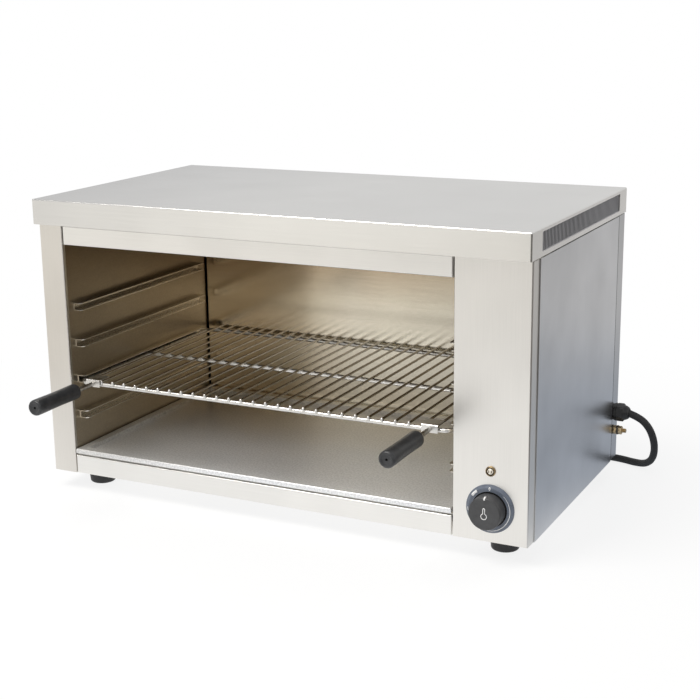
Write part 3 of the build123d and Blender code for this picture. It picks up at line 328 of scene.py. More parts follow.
# The tie is a nylon strap drawn round the turns on one side of the coil, with its lock.
tie_nylon = new_finish("tie_nylon", (0.025, 0.025, 0.026), 0.38)
vary(tie_nylon, "Roughness", grain(tie_nylon, 500.0), 0.32, 0.46)
bundle_x = coil_middle.x - (outer_turn + inner_turn) / 2
bundle_z = (low_layer + high_layer) / 2
tie_steps, tie_reach, tie_half_width, tie_sunk = 48, 0.0104, 0.0018, 0.0006
tie_thick, tie_thin, bench_gap = 0.0011, 0.0001, 0.00002  # thin where the coil lies on it
corner_cut, beneath_from = 1.56, -0.6
tie_shape = bmesh.new()
loops = []
for step in range(tie_steps):
    sweep = 2 * math.pi * step / tie_steps
    across, rise = math.cos(sweep), math.sin(sweep)
    reach = tie_reach / max(abs(across), abs(rise), (abs(across) + abs(rise)) / corner_cut)
    beneath = rise < beneath_from
    inner_z = max(bundle_z + rise * (reach - tie_sunk), bench_gap if beneath else 0)
    inner = Vector((bundle_x + across * reach, coil_middle.y, inner_z))
    outer = inner + Vector((across, 0, rise)) * (tie_thin if beneath else tie_thick)
    outer.z = max(outer.z, 0.0)
    edge = Vector((0, tie_half_width, 0))
    loops.append([
        tie_shape.verts.new(corner)
        for corner in (inner - edge, outer - edge, outer + edge, inner + edge)])
skin(tie_shape, loops + loops[:1])
lock_block = Vector((bundle_x - 0.0122, coil_middle.y, bundle_z)), (0.0042, 0.0056, 0.0058)
strap_end = Vector((bundle_x - 0.0128, coil_middle.y, bundle_z + 0.008)), (0.0011, 0.0036, 0.012)
for middle, size in (lock_block, strap_end):
    lock = bmesh.ops.create_cube(tie_shape, size=1.0)["verts"]
    bmesh.ops.scale(tie_shape, vec=size, verts=lock)
    bmesh.ops.translate(tie_shape, vec=middle, verts=lock)
coil_tie = add_piece("coil_tie", tie_shape, "casing", tie_nylon)
rounded = coil_tie.modifiers.new("edges", "BEVEL")
rounded.width = 0.0002
rounded.limit_method = "ANGLE"


# ---- Casing ----
# Folded stainless sheet, 1 mm thick: a left post and a control panel with two rails between
# them, side panels lapped over their strips, and a back panel with cooling slots behind the
# controls. The pieces are spot-welded inside, and fine rolled lines run along each sheet.
def mixed(finish, first, second, share=1.0):
    """Multiplies one colour by another, by a fixed share or as much as a value says."""
    tree = finish.node_tree
    blend = tree.nodes.new("ShaderNodeMix")
    blend.data_type = "RGBA"
    blend.blend_type = "MULTIPLY"
    factor, first_colour, second_colour = blend.inputs[0], blend.inputs[6], blend.inputs[7]
    if isinstance(share, float):
        factor.default_value = share
    else:
        tree.links.new(share, factor)
    for socket, colour in ((first_colour, first), (second_colour, second)):
        if isinstance(colour, tuple):
            socket.default_value = (*colour, 1.0)
        else:
            tree.links.new(colour, socket)
    return blend.outputs[2]


def sheet_steel(name, colour, rough, along, cloud=0.05, line=0.035, speck=0.0, wave=0.0, metal=1.0):
    """Stainless sheet: rolled lines, cloudy patches, fine specks and a slight wave."""
    finish = new_finish(name, colour, rough, metal=metal)
    rolled = grain(finish, 900.0, tuple(0.014 if axis == along else 1.0 for axis in "xyz"))
    dull = tuple(part * (1 - cloud) for part in colour)
    clear = tuple(min(part * (1 + cloud), 1.0) for part in colour)
    white = (1.0, 1.0, 1.0)
    shade = spread(finish, grain(finish, 11.0, uneven=0.45), dull, clear, 0.2, 0.8)
    shade = mixed(finish, shade, spread(finish, rolled, (1 - line,) * 3, white))
    if speck:
        specks = grain(finish, 420.0, detail=1.0)
        shade = mixed(finish, shade, spread(finish, specks, (1 - speck,) * 3, white))
    drive(finish, "Base Color", shade)
    patches = grain(finish, 16.0, detail=2.0, uneven=0.4)
    vary(finish, "Roughness", patches, rough - 0.02, rough + 0.02, 0.2, 0.8)
    fine = relief(finish, rolled, 0.000014)
    if wave:
        relief(finish, grain(finish, 5.0, detail=1.0), wave, fine)
    return finish


# All these sheets are one stainless steel. The panel, post, side and back sheets get darker copies
# of the rails' colour, and the side and back sheets cooler ones too: painted shade.
rail_steel = sheet_steel("rail_steel", (0.89, 0.875, 0.84), 0.34, "x")
panel_steel = sheet_steel("panel_steel", (0.86, 0.84, 0.80), 0.34, "z")
shaded_post_steel = sheet_steel("shaded_post_steel", (0.78, 0.75, 0.70), 0.34, "z")
shaded_side_steel = sheet_steel("shaded_side_steel", (0.70, 0.71, 0.725), 0.30, "z", cloud=0.13, wave=0.0001)
shaded_back_steel = sheet_steel("shaded_back_steel", (0.60, 0.61, 0.62), 0.30, "z", wave=0.0004)
paint(rail_steel, "top_rail", "bottom_rail", "base_pan", "casing_roof")
paint(panel_steel, "control_panel")
paint(shaded_post_steel, "left_post")
paint(shaded_side_steel, "left_side_panel", "right_side_panel")
paint(shaded_back_steel, "back_panel")

# A thin black bead along the joint behind each side panel: a painted shadow line at the seam.
seam_shadow_black = new_finish("seam_shadow_black", (0.030, 0.030, 0.032), 0.7)
vary(seam_shadow_black, "Roughness", grain(seam_shadow_black, 700.0), 0.6, 0.8)
# The bead's outline: distance out from the strip, and back from the side panel.
bead_line = [
    (-0.0001, 0.00005), (0.0011, 0.00005), (0.0011, 0.0021), (0.0008, 0.0027), (-0.0001, 0.0031)]
bead_foot, bead_steps = 0.002, 40
strip_low, strip_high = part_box("back_panel")
for side, wall, outward in (("left", strip_low.x, -1), ("right", strip_high.x, 1)):
    low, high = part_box(f"{side}_side_panel")
    bead = bmesh.new()
    rows = []
    for step in range(bead_steps + 1):
        z = low.z + bead_foot + (high.z - low.z - bead_foot) * step / bead_steps
        rows.append([
            bead.verts.new((wall + outward * out, high.y + back, z)) for out, back in bead_line])
    skin(bead, rows)
    bead.faces.new(rows[0])
    bead.faces.new(rows[-1])
    add_piece(f"{side}_seam_shadow_bead", bead, "casing", seam_shadow_black)


# ---- Sheet screws ----
# Zinc plated pan-head screws with a cross recess: three under each side panel, six in the
# back panel and three in the cover's rear flange.
def cross_screw(shape, place, axis, radius, height, shank_radius, shank_length):
    """Adds a pan-head screw whose head stands out along the axis from the place."""
    rim_share, rim_steps = 0.52, 24
    turn(shape, [place], axis, [
        (-shank_length, 0), (-shank_length, shank_radius * 0.4),
        (-shank_length * 0.7, shank_radius), (0, shank_radius), (0, radius),
        (height * 0.35, radius), (height * 0.7, radius * 0.9), (height * 0.93, radius * 0.7),
        (height, radius * rim_share)], rim_steps)
    along = Vector(axis).normalized()
    side = along.orthogonal().normalized()
    up = along.cross(side)
    arm, width = radius * 0.42, radius * 0.13
    cross = [
        (arm, -width), (arm, width), (width, width), (width, arm),
        (-width, arm), (-width, width), (-arm, width), (-arm, -width),
        (-width, -width), (-width, -arm), (width, -arm), (width, -width)]
    mouth, pit = [], []
    for outline, depth, share in ((mouth, 0.0, 1.0), (pit, height * 0.5, 0.7)):
        middle = Vector(place) + along * (height - depth)
        for across, rise in cross:
            outline.append(shape.verts.new(middle + (side * across + up * rise) * share))
    rim = []
    for step in range(rim_steps):
        angle = 2 * math.pi * step / rim_steps
        outward = side * math.cos(angle) + up * math.sin(angle)
        rim.append(shape.verts.new(Vector(place) + along * height + outward * radius * rim_share))
    edges = [
        shape.edges.new((one, two))
        for loop in (rim, mouth) for one, two in zip(loop, loop[1:] + loop[:1])]
    bmesh.ops.triangle_fill(shape, edges=edges, use_beauty=True, normal=along)
    skin(shape, (mouth, pit))
    shape.faces.new(pit)


case_low, case_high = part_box("back_panel")
case_middle = (case_low.x + case_high.x) / 2
head_radius, head_height, shank_radius, shank_length = 0.0037, 0.0022, 0.0019, 0.008
screw_size = (head_radius, head_height, shank_radius, shank_length)
side_inset, side_pitch, half_depth = 0.0072, 0.12083, 0.18125
back_inset, back_pitch = 0.007, 0.198
flange_back, flange_rise = 0.001, 0.0135
flange_under = 0.0012  # the side panels' lower flanges are this far below the back panel
screws = bmesh.new()
for x in (case_low.x + side_inset, case_high.x - side_inset):
    for y in (-side_pitch, 0.0, side_pitch):
        place = (x, case_high.y - half_depth + y, case_low.z - flange_under)
        cross_screw(screws, place, (0, 0, -1), *screw_size)
for x in (case_middle - back_pitch, case_middle, case_middle + back_pitch):
    for z in (case_low.z + back_inset, case_high.z - back_inset):
        cross_screw(screws, (x, case_high.y, z), (0, 1, 0), *screw_size)
    place = (x, case_high.y + flange_back, case_high.z + flange_rise)
    cross_screw(screws, place, (0, 1, 0), *screw_size)
bmesh.ops.remove_doubles(screws, verts=screws.verts, dist=0.000001)
zinc_plating = new_finish("zinc_plating", (0.62, 0.63, 0.66), 0.34, metal=1.0)
mottle(zinc_plating, 260.0, (0.50, 0.51, 0.54), (0.68, 0.68, 0.70), 0.28, 0.44)
screw_heads = add_piece("screw_heads", screws, "casing", zinc_plating)
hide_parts("case_screws")


# ---- Feet ----
# Four round moulded rubber feet, a little wider at the top, each held by a zinc plated screw
# whose head sits deep in a recess under the foot.
foot_rubber = new_finish("foot_rubber", (0.022, 0.022, 0.023), 0.6)
mottle(foot_rubber, 130.0, (0.017, 0.017, 0.018), (0.034, 0.034, 0.035), 0.5, 0.7)
relief(foot_rubber, grain(foot_rubber, 1800.0, detail=2.0), 0.00004)
paint(foot_rubber, "feet")
paint(zinc_plating, "foot_screws")


# ---- Grilling chamber ----
# Bare mill-finish stainless sheet: a floor plate, two side liners with folded ledges for the
# tray, a rear liner and a reflector above the heaters. The side liners are darker and browner
# than the rear liner, and more so towards the top. The rear liner carries painted shade under
# the top rail and towards the left, and turns greyer towards the right.
def tinted(finish, colour, start, end, amount, along="Z"):
    """Tints a finish along one axis: not at all at the start, by the amount at the end."""
    tree = finish.node_tree
    place = tree.nodes.new("ShaderNodeTexCoord")
    parts = tree.nodes.new("ShaderNodeSeparateXYZ")
    tree.links.new(place.outputs["Object"], parts.inputs["Vector"])
    share = spread(finish, parts.outputs[along], 0.0, amount, start, end)
    under = tree.nodes["Principled BSDF"].inputs["Base Color"].links[0].from_socket
    drive(finish, "Base Color", mixed(finish, under, colour, share))


liner_steel = sheet_steel("liner_steel", (0.62, 0.55, 0.44), 0.34, "y", line=0.08, speck=0.10)
rear_steel = sheet_steel("rear_steel", (0.99, 0.89, 0.73), 0.18, "x", line=0.10, speck=0.08)
tinted(liner_steel, (0.34, 0.26, 0.17), 0.20, 0.33, 0.7)
# Painted shade: darker and browner in a band under the top rail.
tinted(rear_steel, (0.50, 0.42, 0.33), 0.200, 0.262, 0.80)
# Painted shade: darker and browner towards the left.
tinted(rear_steel, (0.70, 0.58, 0.43), -0.06, -0.22, 0.80, along="X")
tinted(rear_steel, (0.82, 0.83, 0.84), -0.01, 0.10, 0.9, along="X")
reflector_steel = sheet_steel("reflector_steel", (0.34, 0.29, 0.23), 0.40, "x", cloud=0.10)
paint(liner_steel, "left_liner", "right_liner")
paint(rear_steel, "rear_liner")
paint(reflector_steel, "reflector")
paint(rail_steel, "chamber_floor")

# A folded stop strip, spot-welded to the rear liner, closes the gap behind the crumb tray.
tray_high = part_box("crumb_tray")[1]
stop_gap, flange, stop_sheet = 0.0005, 0.0060, 0.0008
stop_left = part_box("left_liner")[1].x + stop_gap
stop_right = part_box("right_liner")[0].x - stop_gap
stop_front, stop_top = tray_high.y + stop_gap, tray_high.z - 0.0004
stop_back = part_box("rear_liner")[0].y - 0.00005
stop_line = [
    (stop_front, stop_top - flange), (stop_front, stop_top - 0.0005),
    (stop_front + 0.0005, stop_top), (stop_back - 0.0016, stop_top),
    (stop_back - 0.0009, stop_top + 0.0006), (stop_back - 0.0007, stop_top + flange),
    (stop_back, stop_top + flange), (stop_back, stop_top - stop_sheet),
    (stop_front + stop_sheet, stop_top - stop_sheet), (stop_front + stop_sheet, stop_top - flange)]
stop = bmesh.new()
ends = [[stop.verts.new((x, y, z)) for y, z in stop_line] for x in (stop_left, stop_right)]
skin(stop, ends)
for end in ends:
    stop.faces.new(end)
add_piece("tray_stop", stop, "casing", rear_steel)


# ---- Runners ----
# Four folded channels on each side liner, open towards the chamber, with clipped front
# corners. Small round spot welds through the web hold them.
runner_steel = sheet_steel("runner_steel", (0.80, 0.76, 0.68), 0.22, "y", line=0.04)
weld_steel = new_finish("weld_steel", (0.36, 0.31, 0.25), 0.42, metal=1.0)
vary(weld_steel, "Base Color", grain(weld_steel, 900.0), (0.24, 0.20, 0.16), (0.46, 0.42, 0.36))
weld_inset, weld_count, runner_sheet = 0.016, 3, 0.001
weld_profile = [
    (0, 0.0016), (0.00006, 0.0015), (0.00008, 0.0012), (0.00003, 0.0009), (0.00002, 0)]
for side, facing in (("left", 1), ("right", -1)):
    spots = bmesh.new()
    for level in range(1, 5):
        runner = f"{side}_runner_{level}"
        paint(runner_steel, runner)
        low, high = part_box(runner)
        web = low.x + runner_sheet if facing > 0 else high.x - runner_sheet
        welded_length = high.y - low.y - 2 * weld_inset
        for weld in range(weld_count):
            y = low.y + weld_inset + welded_length * weld / (weld_count - 1)
            place = (web, y, (low.z + high.z) / 2 + 0.0008)
            turn(spots, [place], (facing, 0, 0), weld_profile, 20)
    add_piece(f"{side}_runner_welds", spots, "casing", weld_steel)


# ---- Wire rack ----
# Chromed wire: a thick frame with a middle wire, and thin rods spot-welded across the top of
# it. Two folded brackets on the rods carry the handle rods.
rack_chrome = new_finish("rack_chrome", (0.76, 0.74, 0.71), 0.24, metal=1.0)
mottle(rack_chrome, 70.0, (0.68, 0.66, 0.62), (0.80, 0.79, 0.77), 0.24, 0.34, detail=4.0)
paint(rack_chrome, "rack_frame", "rack_bracket_left", "rack_bracket_right")
rod_chrome = new_finish("rod_chrome", (0.75, 0.72, 0.67), 0.20, metal=1.0)
mottle(rod_chrome, 45.0, (0.70, 0.67, 0.62), (0.82, 0.80, 0.76), 0.15, 0.26, detail=4.0)
# Painted reflection of the dark chamber: the rods turn darker and browner towards the right.
tinted(rod_chrome, (0.44, 0.38, 0.30), -0.10, 0.12, 0.9, along="X")
paint(rod_chrome, "rack_rods")

frame_low, frame_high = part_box("rack_frame")
rods_low, rods_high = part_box("rack_rods")
frame_radius, rod_radius, rod_count = 0.00275, 0.0016, 29
rod_pitch = (rods_high.x - rods_low.x - 2 * rod_radius) / (rod_count - 1)
rod_lines = [rods_low.x + rod_radius + rod * rod_pitch for rod in range(rod_count)]
wire_lines = (
    frame_low.y + frame_radius, (frame_low.y + frame_high.y) / 2, frame_high.y - frame_radius)
# The welds: a fillet where each rod crosses a wire, and a bead on its front end.
fillet_profile = [(-0.0007, 0.0023), (-0.0002, 0.0024), (0.0004, 0.0019), (0.0008, 0.0016)]
bead_profile = [
    (-0.0030, 0), (-0.0026, 0.0010), (-0.0014, 0.0018), (0.0008, 0.0021),
    (0.0024, 0.0018), (0.0033, 0.0009), (0.0035, 0)]
nuggets = bmesh.new()
for y in wire_lines:
    for x in rod_lines:
        turn(nuggets, [(x, y, rods_low.z)], (0, 0, 1), fillet_profile, 12)
for x in rod_lines:
    turn(nuggets, [(x, rods_low.y + 0.0010, rods_low.z + 0.0002)], (0, 0, 1), bead_profile, 16)
add_piece("rack_welds", nuggets, "rack", rack_chrome)


# ---- Grips ----
# Turned black thermoset grips, pushed on the handle rods, a little slimmer in the middle and
# dimpled in the front end.
grip_black = new_finish("grip_black", (0.030, 0.031, 0.034), 0.35)
grip_wear = grain(grip_black, 110.0, detail=4.0)
vary(grip_black, "Base Color", grip_wear, (0.020, 0.021, 0.023), (0.040, 0.041, 0.044))
vary(grip_black, "Roughness", grain(grip_black, 420.0), 0.27, 0.44)
relief(grip_black, grain(grip_black, 1500.0, detail=2.0), 0.00005)
for side in ("left", "right"):
    low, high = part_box(f"grip_{side}")
    rear_end = ((low.x + high.x) / 2, high.y, (low.z + high.z) / 2)
    long = high.y - low.y
    barrel = [
        (0, 0.0026), (0, 0.0082), (0.0005, 0.0092), (0.0016, 0.0099), (0.003, 0.01),
        (0.016, 0.0098), (0.034, 0.0096), (0.052, 0.0097), (0.068, 0.01)]
    front_end = [
        (long - 0.0035, 0.01), (long - 0.0020, 0.0097), (long - 0.0007, 0.0089), (long, 0.0074)]
    dimple = [
        (long - 0.0001, 0.0066), (long - 0.0008, 0.0058), (long - 0.0012, 0.0040),
        (long - 0.0013, 0.0016), (long - 0.0024, 0.0013), (long - 0.0050, 0.0012),
        (long - 0.0050, 0)]
    grip_shape = bmesh.new()
    turn(grip_shape, [rear_end], (0, -1, 0), barrel + front_end + dimple, 56)
    grip = add_piece(f"grip_{side}_moulded", grip_shape, "rack", grip_black)
    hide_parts(f"grip_{side}")


# ---- Crumb tray ----
# A shallow stainless pan with a hollow folded rim, which slides on the liners' ledges under
# the rack. Scouring has left it dull and finely speckled.
# The blue-white base colour is painted to cancel the warm light in the chamber.
tray_steel = sheet_steel(
    "tray_steel", (0.95, 0.97, 1.0), 0.29, "x", cloud=0.06, line=0.06, speck=0.24, metal=0.57)
# Painted shade: darker and warmer towards the back.
tinted(tray_steel, (0.89, 0.81, 0.69), 0.02, 0.16, 0.8, along="Y")
# Painted shade: darker towards the left.
tinted(tray_steel, (0.86, 0.84, 0.80), -0.10, -0.27, 0.9, along="X")
paint(tray_steel, "crumb_tray")


# ---- Heaters ----
# Three hairpins of steel tube under the reflector, dark with oxide, held by two thin combs.
# Each end has a collar at the right liner and a terminal pin behind it.
heater_oxide = new_finish("heater_oxide", (0.12, 0.11, 0.10), 0.55, metal=0.7)
mottle(heater_oxide, 60.0, (0.07, 0.065, 0.06), (0.20, 0.17, 0.15), 0.42, 0.68, detail=5.0)
relief(heater_oxide, grain(heater_oxide, 900.0), 0.00003)
paint(heater_oxide, "heater_1", "heater_2", "heater_3")
hanger_steel = sheet_steel("hanger_steel", (0.50, 0.45, 0.38), 0.42, "y", cloud=0.12)
paint(hanger_steel, "heater_hangers")


# ---- Thermostat ----
# A moulded thermostat body behind the control panel, with a plated spindle and bushing, and
# a copper capillary that runs to a plated bulb under the heaters.
thermostat_plastic = new_finish("thermostat_plastic", (0.66, 0.61, 0.50), 0.5)
mottle(thermostat_plastic, 240.0, (0.58, 0.53, 0.43), (0.70, 0.66, 0.55), 0.42, 0.58)
paint(thermostat_plastic, "thermostat_body", "pilot_body")
paint(zinc_plating, "thermostat_shaft")
sensor_metal = new_finish("sensor_metal", (0.66, 0.58, 0.48), 0.3, metal=1.0)
mottle(sensor_metal, 180.0, (0.56, 0.44, 0.33), (0.70, 0.66, 0.60), 0.24, 0.4)
paint(sensor_metal, "thermostat_sensor")


# ---- Knob and bezel ----
# A plain moulded knob on a glossy blue-grey bezel with a sloping edge. The marks are printed
# white: an off mark, a start mark and a sweep that widens towards high heat on the bezel, and
# a pointer and a thermometer sign on the knob.
bezel_gloss = new_finish("bezel_gloss", (0.125, 0.145, 0.185), 0.3)
bezel_cloud = grain(bezel_gloss, 90.0)
vary(bezel_gloss, "Base Color", bezel_cloud, (0.108, 0.126, 0.162), (0.150, 0.174, 0.220))
vary(bezel_gloss, "Roughness", grain(bezel_gloss, 500.0), 0.25, 0.38)
relief(bezel_gloss, grain(bezel_gloss, 900.0), 0.00001)
paint(bezel_gloss, "knob_bezel")
knob_grey = new_finish("knob_grey", (0.050, 0.051, 0.054), 0.4)
knob_cloud = grain(knob_grey, 150.0)
vary(knob_grey, "Base Color", knob_cloud, (0.044, 0.044, 0.046), (0.060, 0.061, 0.064))
vary(knob_grey, "Roughness", grain(knob_grey, 600.0), 0.36, 0.5)
relief(knob_grey, grain(knob_grey, 2600.0, detail=2.0), 0.00004)
paint(knob_grey, "knob")
mark_white = new_finish("mark_white", (0.90, 0.90, 0.90), 0.45)
vary(mark_white, "Roughness", grain(mark_white, 1200.0), 0.38, 0.55)

bezel_low, bezel_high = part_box("knob_bezel")
knob_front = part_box("knob")[0].y
dial_x, dial_z = (bezel_low.x + bezel_high.x) / 2, (bezel_low.z + bezel_high.z) / 2

# A thin black ring on the bezel round the knob's base: a painted shadow in the gap.
shadow_ring_profile = [
    (0.00004, 0.0178), (0.00004, 0.0212), (-0.0002, 0.0214), (-0.0002, 0.0178), (0.00004, 0.0178)]
shadow_ring = bmesh.new()
turn(shadow_ring, [(dial_x, bezel_low.y, dial_z)], (0, -1, 0), shadow_ring_profile, 72)
shadow_ring_black = new_finish("shadow_ring_black", (0.008, 0.008, 0.008), 0.8, Specular_IOR_Level=0.2)
vary(shadow_ring_black, "Roughness", grain(shadow_ring_black, 700.0), 0.7, 0.9)
add_piece("knob_shadow_ring", shadow_ring, "casing", shadow_ring_black)

ink = 0.00006  # thickness of the printed marks
bezel_flat, bezel_slope = 0.0255, 0.6


def ribbon(shape, rows):
    """Adds a strip of faces between rows of points."""
    laid = [[shape.verts.new(point) for point in row] for row in rows]
    for near, far in zip(laid, laid[1:]):
        for one in range(len(near) - 1):
            shape.faces.new((near[one], near[one + 1], far[one + 1], far[one]))


def on_bezel(angle, reach):
    """Point on the bezel's face, by the clock angle from the top and the distance out."""
    drop = max(0.0, (reach - bezel_flat) * bezel_slope)
    turned_by = math.radians(angle)
    x, z = dial_x + reach * math.sin(turned_by), dial_z + reach * math.cos(turned_by)
    return (x, bezel_low.y - ink + drop, z)


def arc_mark(shape, first, last, inner, outer, steps):
    """Adds a printed arc between two clock angles, whose edges may drift as it goes."""
    rows = []
    for step in range(steps + 1):
        share = step / steps
        angle = first + (last - first) * share
        low, high = (edge[0] + (edge[1] - edge[0]) * share for edge in (inner, outer))
        rows.append([on_bezel(angle, low + (high - low) * part / 3) for part in range(4)])
    ribbon(shape, rows)


bezel_print = bmesh.new()
arc_mark(bezel_print, -56.5, -37.5, (0.0236, 0.0236), (0.0268, 0.0268), 8)
arc_mark(bezel_print, -101, -91, (0.0259, 0.0259), (0.0266, 0.0266), 6)
arc_mark(bezel_print, 43, 120, (0.0244, 0.0244), (0.02475, 0.0253), 24)
arc_mark(bezel_print, 120, 190, (0.0244, 0.0257), (0.0253, 0.0262), 24)
oval_reach, oval_edges = 0.0245, []
for wide, tall in ((0.0011, 0.0021), (0.0004, 0.0013)):
    edge = []
    for step in range(25):
        angle = step * math.pi / 12
        across = math.degrees(math.sin(angle) * wide / oval_reach)
        edge.append(on_bezel(across, oval_reach + math.cos(angle) * tall))
    oval_edges.append(edge)
ribbon(bezel_print, list(zip(*oval_edges)))
bezel_marks = add_piece("bezel_marks", bezel_print, "casing", mark_white)

# The pointer runs over the knob's rounded edge and down its side, and widens as it goes.
knob_print = bmesh.new()
face_round, edge_reach, bend_steps = 0.002, 0.0194, 6
pointer_line = [(0.0167, 0.0), (edge_reach - face_round, 0.0)]
for step in range(1, bend_steps + 1):
    bend = math.pi / 2 * step / bend_steps
    reach = edge_reach - face_round * (1 - math.sin(bend))
    pointer_line.append((reach, face_round * (1 - math.cos(bend))))
pointer_line.append((edge_reach + 0.0002, 0.0055))
rows = []
for reach, depth in pointer_line:
    half_width = 0.00075 + 0.0003 * min(1.0, depth / face_round)
    y = knob_front - ink + depth - ink * (depth == 0)
    z = dial_z + reach + (ink if depth else 0)
    rows.append([(dial_x + wide, y, z) for wide in (-half_width, 0.0, half_width)])
ribbon(knob_print, rows)


def thermometer_edge(bulb, stem):
    """Outline of the thermometer sign: round the bulb, then over the stem's round top."""
    sign_x, bulb_z, top_z = dial_x - 0.0003, dial_z - 0.00275, dial_z + 0.0057
    y = knob_front - ink
    opening = math.asin(stem / bulb)
    line = []
    for step in range(33):
        angle = opening + (2 * math.pi - 2 * opening) * step / 32
        line.append((sign_x + bulb * math.sin(angle), y, bulb_z + bulb * math.cos(angle)))
    for step in range(17):
        angle = -math.pi / 2 + math.pi * step / 16
        line.append((sign_x + stem * math.sin(angle), y, top_z + stem * math.cos(angle)))
    return line


outer_line, inner_line = thermometer_edge(0.00385, 0.0016), thermometer_edge(0.00300, 0.00075)
ribbon(knob_print, list(zip(outer_line + outer_line[:1], inner_line + inner_line[:1])))
knob_marks = add_piece("knob_marks", knob_print, "knob", mark_white)
for marks in (bezel_marks, knob_marks):
    film = marks.modifiers.new("ink", "SOLIDIFY")
    film.thickness = ink
    film.offset = 0


# ---- Pilot lamp ----
# A neon lamp in a turned brass ring: a pale faceted lens, through which the neon's two short
# electrodes show as brown bars.
# The ring's brass is darker and browner than the stud's: painted shade.
ring_brass = new_finish("ring_brass", (0.42, 0.31, 0.17), 0.24, metal=1.0)
mottle(ring_brass, 300.0, (0.32, 0.23, 0.12), (0.50, 0.38, 0.22), 0.2, 0.36)
ring_low, ring_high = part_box("pilot_bezel")
lamp_x, lamp_z = (ring_low.x + ring_high.x) / 2, (ring_low.z + ring_high.z) / 2
lamp_place = [(lamp_x, ring_high.y, lamp_z)]
ring_profile = [
    (0, 0.0060), (0.0012, 0.0060), (0.0018, 0.0057), (0.0020, 0.0053),
    (0.0019, 0.0050), (0.0006, 0.0047), (0, 0.0047)]
ring_shape = bmesh.new()
turn(ring_shape, lamp_place, (0, -1, 0), ring_profile, 64)
pilot_ring = add_piece("pilot_ring", ring_shape, "casing", ring_brass)
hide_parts("pilot_bezel")
# A dark brown ring between the brass ring and the lens: a painted shadow in the recess.
recess_shadow_brown = new_finish("recess_shadow_brown", (0.045, 0.032, 0.020), 0.5)
vary(recess_shadow_brown, "Roughness", grain(recess_shadow_brown, 800.0), 0.4, 0.6)
recess_shadow_profile = [(0, 0.0048), (0.0007, 0.0048), (0.0009, 0.0034), (0, 0.0034)]
recess_shadow = bmesh.new()
turn(recess_shadow, lamp_place, (0, -1, 0), recess_shadow_profile, 48)
add_piece("pilot_recess_shadow", recess_shadow, "casing", recess_shadow_brown)
lens_clear = new_finish("lens_clear", (0.84, 0.78, 0.66), 0.1, Coat_Weight=0.6, Coat_Roughness=0.03)
vary(lens_clear, "Base Color", grain(lens_clear, 500.0), (0.74, 0.66, 0.52), (0.90, 0.87, 0.80))
lens_profile = [
    (0.0002, 0), (0.0002, 0.0036), (0.0014, 0.0036), (0.0019, 0.0034),
    (0.0024, 0.0028), (0.0027, 0.0018), (0.0028, 0)]
lens_shape = bmesh.new()
turn(lens_shape, lamp_place, (0, -1, 0), lens_profile, 12)
pilot_jewel = add_piece("pilot_jewel", lens_shape, "casing", lens_clear)
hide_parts("pilot_lens")
electrode_brown = new_finish("electrode_brown", (0.09, 0.06, 0.03), 0.4)
vary(electrode_brown, "Roughness", grain(electrode_brown, 900.0), 0.28, 0.45)
electrode_profile = [
    (-0.0015, 0), (-0.0015, 0.0004), (-0.0012, 0.0007),
    (0.0012, 0.0007), (0.0015, 0.0004), (0.0015, 0)]
electrodes = bmesh.new()
for x in (lamp_x - 0.0015, lamp_x + 0.0015):
    place = (x, ring_high.y - 0.0023, lamp_z + 0.0002)
    turn(electrodes, [place], (0, 0, 1), electrode_profile, 12)
add_piece("pilot_electrodes", electrodes, "casing", electrode_brown)


# ---- Cable gland ----
# A black polyamide gland through the rear strip: a hexagon collar against the sheet, and a
# cap nut with a domed mouth and a rubber seal that shows as a lip round the cord.
nut_low, nut_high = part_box("gland_nut")
gland_y, gland_z = (nut_low.y + nut_high.y) / 2, (nut_low.z + nut_high.z) / 2
nut_place = [(nut_low.x, gland_y, gland_z)]
wall_x, gland_flats = case_high.x, 0.021
gland_black = new_finish("gland_black", (0.020, 0.020, 0.021), 0.36)
mottle(gland_black, 300.0, (0.015, 0.015, 0.016), (0.028, 0.028, 0.029), 0.28, 0.46)
relief(gland_black, grain(gland_black, 1600.0), 0.00003)
paint(gland_black, "gland_locknut")
collar_profile = [
    (-0.009, 0.0051), (-0.009, 0.0074), (-0.0086, 0.0080), (0, 0.0080), (0, 0.0104),
    (0.0004, 0.0108), (0.0038, 0.0125), (0.0042, 0.0125), (0.0046, 0.0112),
    (0.0046, 0.0051), (-0.009, 0.0051)]
collar = bmesh.new()
turn(collar, [(wall_x, gland_y, gland_z)], (1, 0, 0), collar_profile, 72, across=gland_flats)
gland_collar = add_piece("gland_collar", collar, "casing", gland_black)
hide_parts("gland_body")
cap_profile = [
    (0, 0.0051), (0, 0.0104), (0.0007, 0.0116), (0.0012, 0.0125), (0.0088, 0.0125),
    (0.0098, 0.0112), (0.0104, 0.0101), (0.0108, 0.0099), (0.0126, 0.0094), (0.0146, 0.0084),
    (0.0160, 0.0073), (0.0167, 0.0066), (0.0169, 0.0060), (0.0168, 0.0053), (0.0160, 0.0051),
    (0, 0.0051)]
cap = bmesh.new()
turn(cap, nut_place, (1, 0, 0), cap_profile, 72, across=gland_flats)
gland_cap = add_piece("gland_cap", cap, "casing", gland_black)
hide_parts("gland_nut")
seal_profile = [
    (0.0135, 0.0050), (0.0158, 0.0050), (0.0163, 0.00485),
    (0.0155, 0.00475), (0.0135, 0.00475), (0.0135, 0.0050)]
seal = bmesh.new()
turn(seal, nut_place, (1, 0, 0), seal_profile, 48)
add_piece("gland_seal", seal, "casing", cord_rubber)


